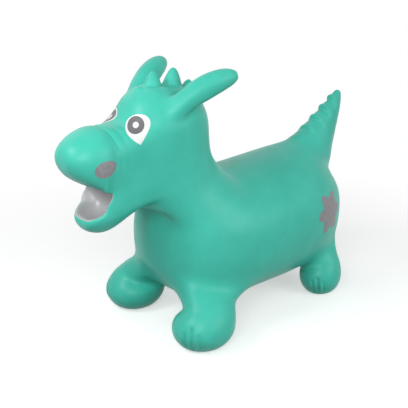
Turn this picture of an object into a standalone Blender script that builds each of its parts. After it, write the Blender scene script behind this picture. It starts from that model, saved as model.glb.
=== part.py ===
"""Bouncy ride-on animal: a hollow, air-filled skin with two horns to hold, a tail and four short legs.

The toy faces -Y, stands on Z = 0 and is mirrored about X = 0. Lengths are in metres, angles in degrees.
It is drawn with Y = 0 at the front of the barrel, then moved so that the origin lies under its middle.
The skin is one moulding. It is modelled as the stretches that stay stiff and the bands that flex between
them, all cut from one smooth surface, so that neighbours meet along the same line with a hair of clearance.
"""

from math import cos, pi, radians, sin

import bmesh
import bpy
from mathutils import Vector
from mathutils.bvhtree import BVHTree

# Skin, paint and clearances
WALL = 0.0025
PAINT = 0.0003
CLEARANCE = 0.0003
CUT_OVERRUN = 0.004
SMOOTH_LEVELS = 1
MIRROR_MERGE = 0.0001
SHARP_ANGLE = 40

# Body: a long barrel, nearly round, with fuller lower corners
BODY_LENGTH = 0.394
BODY_HALF_WIDTH = 0.118
BODY_RISE = 0.106
BODY_DROP = 0.112
BELLY_HEIGHT = 0.038
BODY_AXIS_Z = BELLY_HEIGHT + BODY_DROP
BODY_TOP_Z = BODY_AXIS_Z + BODY_RISE
BODY_END_BULGE = 0.008
BODY_RISE_ROUNDNESS = 0.92
BODY_DROP_ROUNDNESS = 0.72
BODY_RING_ANGLES = (0, 28, 60, 82, 101, 120, 139, 159, 180)
# Along the body, then half width, rise and drop
BODY_RING_SHARES = (
    (0.000, 0.305, 0.300, 0.390),
    (0.038, 0.620, 0.640, 0.680),
    (0.117, 0.847, 0.877, 0.893),
    (0.226, 0.958, 0.934, 0.964),
    (0.340, 0.992, 0.920, 0.991),
    (0.467, 1.000, 0.930, 1.000),
    (0.589, 1.000, 0.960, 1.000),
    (0.708, 0.980, 0.995, 0.980),
    (0.822, 0.895, 0.965, 0.930),
    (0.929, 0.720, 0.760, 0.825),
    (1.000, 0.435, 0.400, 0.535),
)

# Head and neck: rings that lean forward at the throat and lie level at the crown
HEAD_SET_BACK = 0.027
NECK_SINK = 0.022
NECK_Z = BODY_TOP_Z - NECK_SINK
HEAD_HEIGHT = 0.163
CROWN_Z = NECK_Z + HEAD_HEIGHT
HEAD_HALF_WIDTH = 0.070
HEAD_HALF_LENGTH = 0.078
HEAD_SIDE_POINTS = 8
# Set back, height, half width, half length, forward lean in degrees, roundness of the front half
HEAD_RING_SHARES = (
    (0.346, 0.000, 1.114, 1.051, 106, 1.00),
    (0.115, 0.155, 1.014, 1.000, 107, 1.00),
    (0.038, 0.333, 0.986, 0.987, 102, 0.95),
    (0.000, 0.521, 0.986, 1.000, 96, 0.86),
    (0.000, 0.712, 0.980, 0.970, 92, 0.80),
    (0.013, 0.908, 0.740, 0.800, 85, 0.86),
    (0.050, 1.000, 0.386, 0.460, 84, 0.95),
)

# Muzzle: a ball of a snout over an open mouth and a scooped lower jaw
MUZZLE_REACH = 0.025
MUZZLE_Y = HEAD_SET_BACK - HEAD_HALF_LENGTH - MUZZLE_REACH
MOUTH_RISE = 0.030
MOUTH_Z = NECK_Z + MOUTH_RISE
SNOUT_HALF_WIDTH = 0.052
SNOUT_LENGTH = 0.071
SNOUT_RISE = 0.092
CHIN_DROP = 0.071
WRINKLE_DEPTH = 0.0012
SNOUT_AXIS_SHARE = 0.58
# Each point: across, forward of the muzzle line, above the mouth (or, if negative, towards the chin)
MUZZLE_SHARES = (
    (0.00, 0.00, 1.00),
    (0.56, 0.00, 0.92),
    (0.96, 0.01, 0.63),
    (0.68, 0.20, -0.05),
    (0.67, 0.22, -0.14),
    (0.77, -0.08, -0.50),
    (0.42, -0.11, -0.85),
    (0.00, -0.14, -0.90),
)
PALATE_SHARES = ((0.44, 0.02, 0.00), (0.00, 0.02, -0.02))
TONGUE_SHARES = ((0.00, -0.02, -0.45), (0.42, 0.00, -0.40))
SNOUT_RING_SHARES = (
    (
        (0.00, 0.37, 1.00), (0.58, 0.37, 0.93), (1.00, 0.37, 0.61),
        (0.80, 0.42, 0.05), (0.46, 0.38, 0.03), (0.00, 0.37, 0.02),
    ),
    (
        (0.00, 0.61, 0.95), (0.54, 0.61, 0.88), (0.92, 0.61, 0.60),
        (0.79, 0.66, 0.21), (0.42, 0.61, 0.12), (0.00, 0.61, 0.10),
    ),
    (
        (0.00, 0.89, 0.83), (0.40, 0.89, 0.78), (0.67, 0.89, 0.58),
        (0.58, 0.89, 0.37), (0.31, 0.89, 0.26), (0.00, 0.89, 0.24),
    ),
    (
        (0.00, 1.03, 0.69), (0.21, 1.03, 0.66), (0.35, 1.03, 0.57),
        (0.29, 1.03, 0.47), (0.15, 1.03, 0.42), (0.00, 1.03, 0.41),
    ),
)
LIP_CREASE = 0.5
# Where the wrinkles lie between the muzzle line and the first snout ring, and how deep each is
WRINKLE_SHARES = ((0.33, 1.0), (0.66, -0.4))
JAW_RING_SHARES = (
    (
        (0.00, 0.24, -0.64), (0.38, 0.24, -0.60), (0.69, 0.38, -0.33),
        (0.77, 0.28, -0.58), (0.42, 0.25, -0.94), (0.00, 0.25, -1.00),
    ),
    (
        (0.00, 0.50, -0.62), (0.33, 0.50, -0.59), (0.57, 0.53, -0.48),
        (0.63, 0.53, -0.62), (0.36, 0.51, -0.87), (0.00, 0.51, -0.93),
    ),
    (
        (0.00, 0.68, -0.55), (0.20, 0.68, -0.55), (0.32, 0.68, -0.56),
        (0.36, 0.67, -0.68), (0.23, 0.67, -0.79), (0.00, 0.67, -0.81),
    ),
)

# Horns: two long soft grips swept back from the crown
HORN_INSET = 0.0155
HORN_SET_FORWARD = 0.005
HORN_DROP = 0.020
HORN_SPREAD = 0.033
HORN_REACH = 0.079
HORN_CLIMB = 0.038
HORN_ROOT = Vector((HEAD_HALF_WIDTH - HORN_INSET, HEAD_SET_BACK - HORN_SET_FORWARD, CROWN_Z - HORN_DROP))
HORN_TIP = HORN_ROOT + Vector((HORN_SPREAD, HORN_REACH, HORN_CLIMB))
HORN_ARCH = 0.0082
HORN_RADIUS = 0.0245
HORN_SIDES = 8
HORN_BAND_ROWS = 2
HORN_LEAN_SHARES = (0.66, 0.25, 0.72)
# The collar lies between the opening in the head and the first ring of the horn, sunk towards the head
HORN_COLLAR_SHARE = 0.55
HORN_COLLAR_SINK = 0.003
# Along the horn, arch, radius
HORN_RING_SHARES = (
    (-0.03, 0.00, 0.76),
    (0.08, 0.28, 0.74),
    (0.20, 0.54, 0.77),
    (0.44, 0.84, 0.83),
    (0.71, 0.76, 0.75),
    (0.90, 0.36, 0.56),
    (1.00, 0.04, 0.24),
)

# Tail: a tall fin that leans back, with scales down its front edge
TAIL_SET_FORWARD = 0.074
TAIL_STEP = 0.002
TAIL_OVERHANG = 0.013
TAIL_BACK_DROP = 0.044
TAIL_LEAN = 0.047
TAIL_HEIGHT = 0.086
TAIL_FRONT = Vector((0, BODY_LENGTH - TAIL_SET_FORWARD, BODY_TOP_Z + TAIL_STEP))
TAIL_BACK = Vector((0, BODY_LENGTH + TAIL_OVERHANG, BODY_TOP_Z - TAIL_BACK_DROP))
TAIL_TIP = Vector((0, BODY_LENGTH + TAIL_LEAN, BODY_TOP_Z + TAIL_HEIGHT))
TAIL_HALF_WIDTH = 0.046
TAIL_BACK_BULGE = 0.013
TAIL_END_BULGE = 0.004
TAIL_SIDE_POINTS = 6
# Up the front edge, up the back edge, bulge of the back edge, half width
TAIL_RING_SHARES = (
    (0.00, 0.00, 0.00, 1.00),
    (0.19, 0.12, 0.25, 0.76),
    (0.38, 0.33, 0.62, 0.56),
    (0.58, 0.56, 0.90, 0.39),
    (0.77, 0.76, 1.00, 0.26),
    (0.94, 0.93, 0.55, 0.15),
)
SCALE_HEIGHT = 0.0055
SCALE_LENGTH = 0.015
SCALE_HALF_WIDTH = 0.006
SCALE_PLACE_SHARES = (0.12, 0.30, 0.48, 0.66, 0.83)

# Legs: short, each widening into a round foot cut flat underneath
LEG_OVERLAP = 0.025
LEG_HEIGHT = BELLY_HEIGHT + LEG_OVERLAP
LEG_LIFT = 0.023
LEG_END_LIFT = 0.014
LEG_TUCK = 0.010
# How far from leg to foot, fullness across and along, height, lift of the outer side and of the far end
LEG_RING_SHARES = (
    (0.04, 1.00, 1.00, 0.94, 0.75),
    (0.26, 1.00, 0.92, 0.87, 0.62),
    (0.66, 1.00, 0.96, 0.78, 0.42),
    (0.97, 1.00, 1.00, 0.60, 0.12),
    (1.00, 0.97, 0.97, 0.33, 0.00),
    (1.00, 0.76, 0.76, 0.08, 0.00),
    (1.00, 0.44, 0.44, -0.045, 0.00),
)
FRONT_FOOT_INSET = 0.027
FRONT_FOOT_SET_BACK = 0.032
FRONT_FOOT_HALF_WIDTH = 0.052
FRONT_FOOT_HALF_LENGTH = 0.057
FRONT_LEG_HALF_WIDTH = 0.034
FRONT_LEG_HALF_LENGTH = 0.052
FRONT_LEG_SET_BACK = 0.024
FRONT_LEG_SIDES = 10
REAR_FOOT_INSET = 0.031
REAR_FOOT_SET_FORWARD = 0.080
REAR_FOOT_HALF_WIDTH = 0.041
REAR_FOOT_HALF_LENGTH = 0.044
REAR_LEG_HALF_WIDTH = 0.030
REAR_LEG_HALF_LENGTH = 0.041
REAR_LEG_SET_BACK = 0.003
REAR_LEG_SIDES = 8
FRONT_FOOT = (BODY_HALF_WIDTH - FRONT_FOOT_INSET, FRONT_FOOT_SET_BACK)
REAR_FOOT = (BODY_HALF_WIDTH - REAR_FOOT_INSET, BODY_LENGTH - REAR_FOOT_SET_FORWARD)

# Soft spikes along the crown
SPIKE_HEIGHT = 0.027
SPIKE_RADIUS = 0.0150
SPIKE_SIDES = 10
SPIKE_SINK = 0.004
# Behind the middle of the head, height above the crown, radius at the base
SPIKE_SHARES = (
    (-0.55, 0.20, 0.52),
    (-0.20, 0.80, 0.92),
    (0.27, 1.00, 1.00),
    (0.70, 0.68, 0.84),
)
# Height up the spike, radius
SPIKE_PROFILE_SHARES = ((0.00, 1.00), (0.30, 0.82), (0.62, 0.64), (0.88, 0.42))

# Painted eyes, nostrils and rump marks. Each faces outward along its own direction.
# Across, forward and up in the head's measures, then the way each faces
EYE_PLACE_SHARES = (0.669, 1.029, 0.718)
EYE_FACING_SHARES = (0.72, -0.66, 0.20)
EYE_HALF_WIDTH = 0.0180
EYE_HALF_HEIGHT = 0.0212
EYE_POINT_SHARE = 0.77
EYE_LEAN_SHARES = (0.30, 0.12)
RING_PLACE_SHARES = (-0.14, 0.29)
RING_RADIUS = 0.0124
RING_HOLE_RADIUS = 0.0045
# Across, forward and up in the muzzle's measures
NOSTRIL_PLACE_SHARES = (0.81, 0.385, 0.435)
NOSTRIL_FACING_SHARES = (0.86, -0.42, -0.28)
NOSTRIL_HALF_WIDTH = 0.0160
NOSTRIL_HALF_HEIGHT = 0.0117
# Across, along and up in the body's measures
MARK_PLACE_SHARES = (0.91, 0.785, 0.071)
MARK_FACING_SHARES = (0.92, 0.38, 0.10)
MARK_RADIUS = 0.038
MARK_PETALS = 6
MARK_PETAL_DEPTH = 0.012
PAINT_SPOKES = 36
PAINT_MARGIN = 0.022

# Air valve under the belly: a moulded seat and a press-in plug with a wide head
VALVE_PLACE_SHARE = 0.44
VALVE_Y = VALVE_PLACE_SHARE * BODY_LENGTH
SEAT_RADIUS = 0.0075
SEAT_FLANGE_RADIUS = 0.0110
SEAT_FLANGE = 0.0015
SEAT_DEPTH = 0.009
PLUG_RADIUS = 0.0040
PLUG_DEPTH = 0.008
PLUG_HEAD_RADIUS = 0.0080
PLUG_HEAD = 0.0015
TURNED_STEPS = 24

# Zones of the skin
BODY, HEAD, MOUTH, HORN_BAND, HORN, TAIL_BAND, TAIL, LEG, FOOT = range(9)

TEAL = (0.102, 0.565, 0.466, 1)
SILVER = (0.37, 0.37, 0.39, 1)
GREY = (0.25, 0.28, 0.30, 1)
WHITE = (0.90, 0.93, 0.92, 1)
NATURAL = (0.72, 0.74, 0.72, 1)
VINYL_ROUGHNESS = 0.42
PAINT_ROUGHNESS = 0.40
SILVER_ROUGHNESS = 0.30
SILVER_METALLIC = 0.30


def material(name, colour, roughness, metallic=0.0):
    made = bpy.data.materials.new(name)
    made.use_nodes = True
    made.diffuse_color = colour
    shader = made.node_tree.nodes["Principled BSDF"]
    shader.inputs["Base Color"].default_value = colour
    shader.inputs["Roughness"].default_value = roughness
    shader.inputs["Metallic"].default_value = metallic
    return made


def signed_power(value, power):
    return abs(value) ** power if value >= 0 else -(abs(value) ** power)


def midline_sine(step, steps):
    """The sine round a half ring, exactly zero at both ends, so that they lie on the mirror plane."""
    return sin(pi * step / steps) if 0 < step < steps else 0.0


# The half cage of the skin


def body_ring(mesh, along, width, rise, drop):
    ring = []
    last = len(BODY_RING_ANGLES) - 1
    for step, angle in enumerate(BODY_RING_ANGLES):
        up = cos(radians(angle))
        across = sin(radians(angle)) if 0 < step < last else 0.0
        power = BODY_RISE_ROUNDNESS if up >= 0 else BODY_DROP_ROUNDNESS
        height = rise * BODY_RISE if up >= 0 else drop * BODY_DROP
        place = (
            width * BODY_HALF_WIDTH * across**power,
            along * BODY_LENGTH,
            BODY_AXIS_Z + height * signed_power(up, power),
        )
        ring.append(mesh.verts.new(place))
    return ring


def head_ring(mesh, back, rise, width, length, lean, roundness):
    forward = Vector((0, -sin(radians(lean)), cos(radians(lean))))
    centre = Vector((0, HEAD_SET_BACK + back * HEAD_HALF_LENGTH, NECK_Z + rise * HEAD_HEIGHT))
    last = HEAD_SIDE_POINTS - 1
    ring = []
    for step in range(HEAD_SIDE_POINTS):
        ahead = cos(pi * step / last)
        power = roundness if ahead > 0 else 1
        across = midline_sine(step, last) ** power
        place = centre + forward * (length * HEAD_HALF_LENGTH * signed_power(ahead, power))
        place.x = width * HEAD_HALF_WIDTH * across
        ring.append(mesh.verts.new(place))
    return ring


def muzzle_place(across, ahead, up):
    height = SNOUT_RISE if up > 0 else CHIN_DROP
    return Vector((across * SNOUT_HALF_WIDTH, MUZZLE_Y - ahead * SNOUT_LENGTH, MOUTH_Z + up * height))


def muzzle_points(mesh, shares):
    return [mesh.verts.new(muzzle_place(*share)) for share in shares]


def wrinkle_ring(mesh, back, front, along, depth):
    """A ring between two others, drawn in or pushed out round the snout. Its mouth side stays plain."""
    axis_z = muzzle_place(0, 0, SNOUT_AXIS_SHARE).z
    ring = []
    for step, (near, far) in enumerate(zip(back, front)):
        place = near.co.lerp(far.co, along)
        outward = Vector((place.x, 0, place.z - axis_z)).normalized()
        if step < len(back) - 3:
            place -= outward * depth * WRINKLE_DEPTH
        ring.append(mesh.verts.new(place))
    return ring


def horn_rings(mesh):
    line = (HORN_TIP - HORN_ROOT).normalized()
    arch = (Vector((0, 0, 1)) - line * line.z).normalized()
    span = HORN_TIP - HORN_ROOT
    centres = [HORN_ROOT + span * along + arch * bow * HORN_ARCH for along, bow, _ in HORN_RING_SHARES]
    last = len(centres) - 1
    front = Vector((0, -1, 0))
    rings = []
    for step, centre in enumerate(centres):
        heading = centres[min(step + 1, last)] - centres[max(step - 1, 0)]
        heading = (heading if step else Vector(HORN_LEAN_SHARES)).normalized()
        front = (front - heading * front.dot(heading)).normalized()
        down = heading.cross(front)
        radius = HORN_RING_SHARES[step][2] * HORN_RADIUS
        ring = []
        for side in range(HORN_SIDES):
            turn = pi / 4 + 2 * pi * side / HORN_SIDES
            ring.append(mesh.verts.new(centre + (front * cos(turn) + down * sin(turn)) * radius))
        rings.append(ring)
    return rings


def horn_collar(mesh, rim, root):
    """A ring round the foot of the horn that leaves a soft crease where the horn meets the head."""
    outward = Vector(HORN_LEAN_SHARES).normalized()
    ring = []
    for near, far in zip(rim, root):
        place = near.co.lerp(far.co, HORN_COLLAR_SHARE) - outward * HORN_COLLAR_SINK
        ring.append(mesh.verts.new(place))
    return ring


def tail_edges(up_front, up_back, bulge):
    front = TAIL_FRONT.lerp(TAIL_TIP, up_front)
    back = TAIL_BACK.lerp(TAIL_TIP, up_back) + Vector((0, bulge * TAIL_BACK_BULGE, 0))
    return front, back


def tail_ring(mesh, up_front, up_back, bulge, width):
    front, back = tail_edges(up_front, up_back, bulge)
    last = TAIL_SIDE_POINTS - 1
    ring = []
    for step in range(TAIL_SIDE_POINTS):
        place = (front + back) / 2 + (front - back) / 2 * cos(pi * step / last)
        place.x = width * TAIL_HALF_WIDTH * midline_sine(step, last)
        ring.append(mesh.verts.new(place))
    return ring


def leg_rings(mesh, foot, foot_size, leg_size, set_back, end, sides):
    """Rings from the top of a leg to its sole. The second point of each ring is its foremost.

    The end is -1 for a front leg and 1 for a rear one, whose tops rise forward and rearward.
    """
    rings = []
    for blend, across, along, height, lift in LEG_RING_SHARES:
        half_width = (leg_size[0] + (foot_size[0] - leg_size[0]) * blend) * across
        half_length = (leg_size[1] + (foot_size[1] - leg_size[1]) * blend) * along
        ring = []
        for side in range(sides):
            turn = -pi / 2 + 2 * pi * (1 - side) / sides
            place = (
                foot[0] - (1 - blend) * LEG_TUCK + half_width * cos(turn),
                foot[1] + (1 - blend) * set_back + half_length * sin(turn),
                height * LEG_HEIGHT + lift * (LEG_LIFT * cos(turn) + end * LEG_END_LIFT * sin(turn)),
            )
            ring.append(mesh.verts.new(place))
        rings.append(ring)
    return rings


def crease_chain(mesh, chain, sharpness):
    """Keeps the smoothed surface close to a chain of points."""
    layer = mesh.edges.layers.float["crease_edge"]
    for start, end in zip(chain, chain[1:]):
        mesh.edges.get((start, end))[layer] = sharpness


def join_rings(mesh, rings, zones, closed=False):
    """Quads between neighbouring rings. The last zone serves every band that is left."""
    bands = []
    for index in range(len(rings) - 1):
        near, far = rings[index], rings[index + 1]
        sides = len(near) if closed else len(near) - 1
        band = []
        for side in range(sides):
            after = (side + 1) % len(near)
            face = mesh.faces.new((near[side], near[after], far[after], far[side]))
            face.material_index = zones[min(index, len(zones) - 1)]
            band.append(face)
        bands.append(band)
    return bands


def add_quads(mesh, ring, corners, zone):
    for corner in corners:
        mesh.faces.new([ring[index] for index in corner]).material_index = zone


def close_half_ring(mesh, ring, zone, bulge=Vector()):
    """Closes a half ring with strips that run across the mirror plane."""
    last = len(ring) - 1
    middle = [ring[0]]
    for step in range(1, last):
        place = ring[step].co + bulge * midline_sine(step, last)
        place.x = 0
        middle.append(mesh.verts.new(place))
    middle.append(ring[last])
    for step in range(last):
        corners = dict.fromkeys((ring[step], ring[step + 1], middle[step + 1], middle[step]))
        mesh.faces.new(list(corners)).material_index = zone


def remove_block(mesh, bands, rows, columns):
    block = [bands[row][column] for row in rows for column in columns]
    bmesh.ops.delete(mesh, geom=block, context="FACES")


def close_tube_end(mesh, ring, zone):
    """Closes a tube with strips of quads from side to side."""
    sides = len(ring)
    corners = [(0, 1, 2, 3)]
    corners += [(sides - step, (1 - step) % sides, 2 + step, 3 + step) for step in range(1, sides // 2 - 1)]
    add_quads(mesh, ring, corners, zone)


def add_muzzle(mesh, head):
    """Snout, mouth and jaw, set into the opening in the front of the head."""
    rim = [head[4][0], head[4][1], head[4][2], head[3][2], head[2][2], head[1][2], head[1][1], head[1][0]]
    line = muzzle_points(mesh, MUZZLE_SHARES)
    join_rings(mesh, [rim, line], [HEAD])
    palate = muzzle_points(mesh, PALATE_SHARES)
    tongue = muzzle_points(mesh, TONGUE_SHARES)
    throat = [*palate, *tongue, line[3], line[4]]
    add_quads(mesh, throat, ((1, 0, 3, 2), (0, 4, 5, 3)), MOUTH)

    root = [line[0], line[1], line[2], line[3], *palate]
    first = muzzle_points(mesh, SNOUT_RING_SHARES[0])
    rings = [root]
    rings += [wrinkle_ring(mesh, root, first, *wrinkle) for wrinkle in WRINKLE_SHARES]
    rings.append(first)
    rings += [muzzle_points(mesh, shares) for shares in SNOUT_RING_SHARES[1:]]
    bands = join_rings(mesh, rings, [HEAD])
    for band in bands[:3]:
        band[4].material_index = MOUTH
    add_quads(mesh, rings[-1], ((0, 1, 4, 5), (1, 2, 3, 4)), HEAD)
    crease_chain(mesh, [line[4], *[ring[3] for ring in rings[:4]]], LIP_CREASE)

    rings = [[*tongue, line[4], line[5], line[6], line[7]]]
    rings += [muzzle_points(mesh, shares) for shares in JAW_RING_SHARES]
    bands = join_rings(mesh, rings, [HEAD])
    crease_chain(mesh, [line[4], rings[1][2]], LIP_CREASE)
    for band in bands:
        band[0].material_index = MOUTH
        band[1].material_index = MOUTH
    add_quads(mesh, rings[-1], ((0, 1, 4, 5), (1, 2, 3, 4)), HEAD)


def skin_cage():
    """The +X half of the skin: a barrel whose openings lead into the neck, the legs and the tail."""
    mesh = bmesh.new()
    mesh.edges.layers.float.new("crease_edge")
    body = [body_ring(mesh, *share) for share in BODY_RING_SHARES]
    bands = join_rings(mesh, body, [BODY])
    close_half_ring(mesh, body[0], BODY, Vector((0, -BODY_END_BULGE, 0)))
    close_half_ring(mesh, body[-1], BODY, Vector((0, BODY_END_BULGE, 0)))

    remove_block(mesh, bands, (1, 2, 3), (0, 1))
    rim = [body[1][0], body[1][1], body[1][2], body[2][2], body[3][2], body[4][2], body[4][1], body[4][0]]
    head = [head_ring(mesh, *share) for share in HEAD_RING_SHARES]
    head_bands = join_rings(mesh, [rim, *head], [HEAD])
    close_half_ring(mesh, head[-1], HEAD)

    remove_block(mesh, head_bands, (2, 3, 4), (0, 1))
    add_muzzle(mesh, head)

    remove_block(mesh, head_bands, (5, 6), (2, 3))
    rim = [head[4][2], head[4][3], head[4][4], head[5][4], head[6][4], head[6][3], head[6][2], head[5][2]]
    rings = horn_rings(mesh)
    rings.insert(0, horn_collar(mesh, rim, rings[0]))
    join_rings(mesh, [rim, *rings], [HEAD, HEAD, *[HORN_BAND] * HORN_BAND_ROWS, HORN], closed=True)
    close_tube_end(mesh, rings[-1], HORN)

    remove_block(mesh, bands, (7, 8, 9), (0,))
    rim = [body[7][0], body[7][1], body[8][1], body[9][1], body[10][1], body[10][0]]
    tail = [tail_ring(mesh, *share) for share in TAIL_RING_SHARES]
    join_rings(mesh, [rim, *tail], [BODY, TAIL_BAND, TAIL_BAND, TAIL])
    close_half_ring(mesh, tail[-1], TAIL, Vector((0, 0, TAIL_END_BULGE)))

    front = leg_rings(
        mesh,
        FRONT_FOOT,
        (FRONT_FOOT_HALF_WIDTH, FRONT_FOOT_HALF_LENGTH),
        (FRONT_LEG_HALF_WIDTH, FRONT_LEG_HALF_LENGTH),
        FRONT_LEG_SET_BACK,
        -1,
        FRONT_LEG_SIDES,
    )
    rear = leg_rings(
        mesh,
        REAR_FOOT,
        (REAR_FOOT_HALF_WIDTH, REAR_FOOT_HALF_LENGTH),
        (REAR_LEG_HALF_WIDTH, REAR_LEG_HALF_LENGTH),
        REAR_LEG_SET_BACK,
        1,
        REAR_LEG_SIDES,
    )
    for first, last, rings in ((1, 4, front), (7, 9, rear)):
        remove_block(mesh, bands, range(first, last), (5, 6))
        rim = [body[first][5], body[first][6]]
        rim += [body[row][7] for row in range(first, last + 1)]
        rim += [body[last][6]]
        rim += [body[row][5] for row in range(last, first, -1)]
        join_rings(mesh, [rim, *rings], [BODY, LEG, LEG, LEG, LEG, FOOT], closed=True)
        close_tube_end(mesh, rings[-1], FOOT)

    loose = [vertex for vertex in mesh.verts if not vertex.link_faces]
    bmesh.ops.delete(mesh, geom=loose, context="VERTS")
    bmesh.ops.recalc_face_normals(mesh, faces=mesh.faces)
    return mesh


def new_object(name, mesh, look):
    made = bpy.data.objects.new(name, mesh)
    bpy.context.scene.collection.objects.link(made)
    mesh.materials.clear()
    mesh.materials.append(look)
    return made


def evaluated_mesh(thing):
    graph = bpy.context.evaluated_depsgraph_get()
    return bpy.data.meshes.new_from_object(thing.evaluated_get(graph))


def smooth_skin(levels):
    """The whole outer surface as one mesh of triangles: mirrored, smoothed and cut flat under the feet."""
    cage = skin_cage()
    mesh = bpy.data.meshes.new("skin")
    cage.to_mesh(mesh)
    cage.free()
    guide = bpy.data.objects.new("skin", mesh)
    bpy.context.scene.collection.objects.link(guide)
    mirror = guide.modifiers.new("Mirror", "MIRROR")
    mirror.use_clip = True
    mirror.merge_threshold = MIRROR_MERGE
    smooth = guide.modifiers.new("Smooth", "SUBSURF")
    smooth.levels = smooth.render_levels = levels
    split = guide.modifiers.new("Split", "TRIANGULATE")
    split.quad_method = "SHORTEST_DIAGONAL"
    skin = evaluated_mesh(guide)
    bpy.data.objects.remove(guide)
    for vertex in skin.vertices:
        vertex.co.z = max(vertex.co.z, 0)
    skin.update()
    return skin


def patch_layer(skin, faces, low, high, gap):
    """A closed sheet over some faces of the skin, between two offsets. Its edge draws back by the gap."""
    chosen = {face.index for face in faces}
    shared = {}
    for face in skin.polygons:
        for vertex in face.vertices:
            shared.setdefault(vertex, []).append(face.index)
    inside = {vertex for face in faces for vertex in face.vertices}
    edge = {vertex for vertex in inside if not chosen.issuperset(shared[vertex])}
    mesh = bmesh.new()
    below, above = {}, {}
    for vertex in sorted(inside):
        place, normal = skin.vertices[vertex].co, skin.vertices[vertex].normal
        shift = Vector()
        if vertex in edge:
            own = [skin.polygons[index].center for index in shared[vertex] if index in chosen]
            inward = sum((centre - place for centre in own), Vector())
            inward -= normal * inward.dot(normal)
            shift = inward.normalized() * gap
        bottom = place + normal * low + shift
        if place.z < WALL:
            bottom.z = max(bottom.z, place.z - low)
        below[vertex] = mesh.verts.new(bottom)
        above[vertex] = mesh.verts.new(place + normal * high + shift)
    for face in faces:
        corners = list(face.vertices)
        mesh.faces.new([above[vertex] for vertex in corners])
        mesh.faces.new([below[vertex] for vertex in reversed(corners)])
    directed = {
        (face.vertices[step - 1], face.vertices[step]) for face in faces for step in range(len(face.vertices))
    }
    for start, end in sorted(directed):
        if (end, start) in directed:
            continue
        # Both neighbours along a seam split its rim the same way, so that the rims stay parallel.
        if start < end:
            mesh.faces.new((above[end], above[start], below[end]))
            mesh.faces.new((above[start], below[start], below[end]))
        else:
            mesh.faces.new((above[end], above[start], below[start]))
            mesh.faces.new((above[end], below[start], below[end]))
    return mesh


def zone_faces(skin, zones, side=0, rear=None):
    """The faces in some zones, if asked on one side only, or of the front or the rear legs only."""
    middle_y = (FRONT_FOOT[1] + REAR_FOOT[1]) / 2
    found = []
    for face in skin.polygons:
        if face.material_index not in zones or face.center.x * side < 0:
            continue
        if rear is None or (face.center.y > middle_y) == rear:
            found.append(face)
    return found


def add_solid(name, mesh, look, pivot=Vector()):
    """Finishes a mesh as a named object whose origin is at its pivot."""
    bmesh.ops.translate(mesh, verts=mesh.verts, vec=-pivot)
    data = bpy.data.meshes.new(name)
    mesh.to_mesh(data)
    mesh.free()
    data.shade_smooth()
    data.set_sharp_from_angle(angle=radians(SHARP_ANGLE))
    made = new_object(name, data, look)
    made.location = pivot
    return made


def skin_piece(name, skin, faces, look, pivot=Vector()):
    return add_solid(name, patch_layer(skin, faces, -WALL, 0, CLEARANCE / 2), look, pivot)


def add_modifier_solid(target, operation, other):
    step = target.modifiers.new(other.name, "BOOLEAN")
    step.operation = operation
    step.object = other
    other.hide_render = True
    other.display_type = "WIRE"


# Solids turned or lofted round an axis


def join_turn(mesh, rings, steps):
    """Closes a stack of rings on itself. A ring may be a single point."""
    for index, near in enumerate(rings):
        far = rings[(index + 1) % len(rings)]
        for step in range(steps):
            after = (step + 1) % steps
            corners = (
                near[step % len(near)],
                near[after % len(near)],
                far[after % len(far)],
                far[step % len(far)],
            )
            corners = list(dict.fromkeys(corners))
            if len(corners) > 2:
                mesh.faces.new(corners)
    bmesh.ops.recalc_face_normals(mesh, faces=mesh.faces)


def turned(profile, y, steps):
    """A solid of revolution about a vertical line at X = 0. The profile lists radius and height."""
    mesh = bmesh.new()
    rings = []
    for radius, z in profile:
        ring = []
        for step in range(steps if radius else 1):
            turn = 2 * pi * step / steps
            ring.append(mesh.verts.new((radius * cos(turn), y + radius * sin(turn), z)))
        rings.append(ring)
    join_turn(mesh, rings, steps)
    return mesh


def spike(surface, place, height, radius):
    """A soft cone on the midline. It starts a little inside the crown and ends in a round tip."""
    y = HEAD_SET_BACK + place * HEAD_HALF_LENGTH
    crown = surface.ray_cast(Vector((0, y, CROWN_Z + HEAD_HALF_LENGTH)), Vector((0, 0, -1)))[0].z
    base = crown - SPIKE_SINK
    top = crown + height * SPIKE_HEIGHT
    profile = [(0, base)]
    for up, wide in SPIKE_PROFILE_SHARES:
        profile.append((radius * wide * SPIKE_RADIUS, base + (top - base) * up))
    profile.append((0, top))
    return turned(profile, y, SPIKE_SIDES)


def tail_scale(place):
    """A rounded ridge on the front edge of the tail, steep on its lower side."""
    front, back = tail_edges(place, place, 0)
    inward = (back - front).normalized()
    up = (TAIL_TIP - TAIL_FRONT).normalized()
    mesh = bmesh.new()
    bmesh.ops.create_icosphere(mesh, subdivisions=2, radius=1)
    for vertex in mesh.verts:
        across, along, out = vertex.co
        vertex.co = (
            front
            + up * along * SCALE_LENGTH / 2
            - inward * out * SCALE_HEIGHT
            + Vector((across * SCALE_HALF_WIDTH, 0, 0))
        )
    return mesh


def frame_at(facing, side):
    """Unit vectors of a painted place: outward, towards the rear of the toy, and up."""
    outward = Vector((facing[0] * side, facing[1], facing[2])).normalized()
    right = Vector((0, 0, 1)).cross(outward).normalized()
    return outward, right * side, outward.cross(right)


def outline_prism(centre, axes, outline, hole_share, reach):
    """A straight prism through an outline, with a like hole down its middle if asked."""
    outward, rearward, up = axes
    mesh = bmesh.new()
    rings = []
    for share, depth in ((1, -reach), (1, reach), (hole_share, reach), (hole_share, -reach)):
        ring = []
        for spoke in range(PAINT_SPOKES if share else 1):
            across, above = outline(2 * pi * spoke / PAINT_SPOKES)
            ring.append(mesh.verts.new(centre + (rearward * across + up * above) * share + outward * depth))
        rings.append(ring)
    join_turn(mesh, rings, PAINT_SPOKES)
    return mesh


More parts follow.
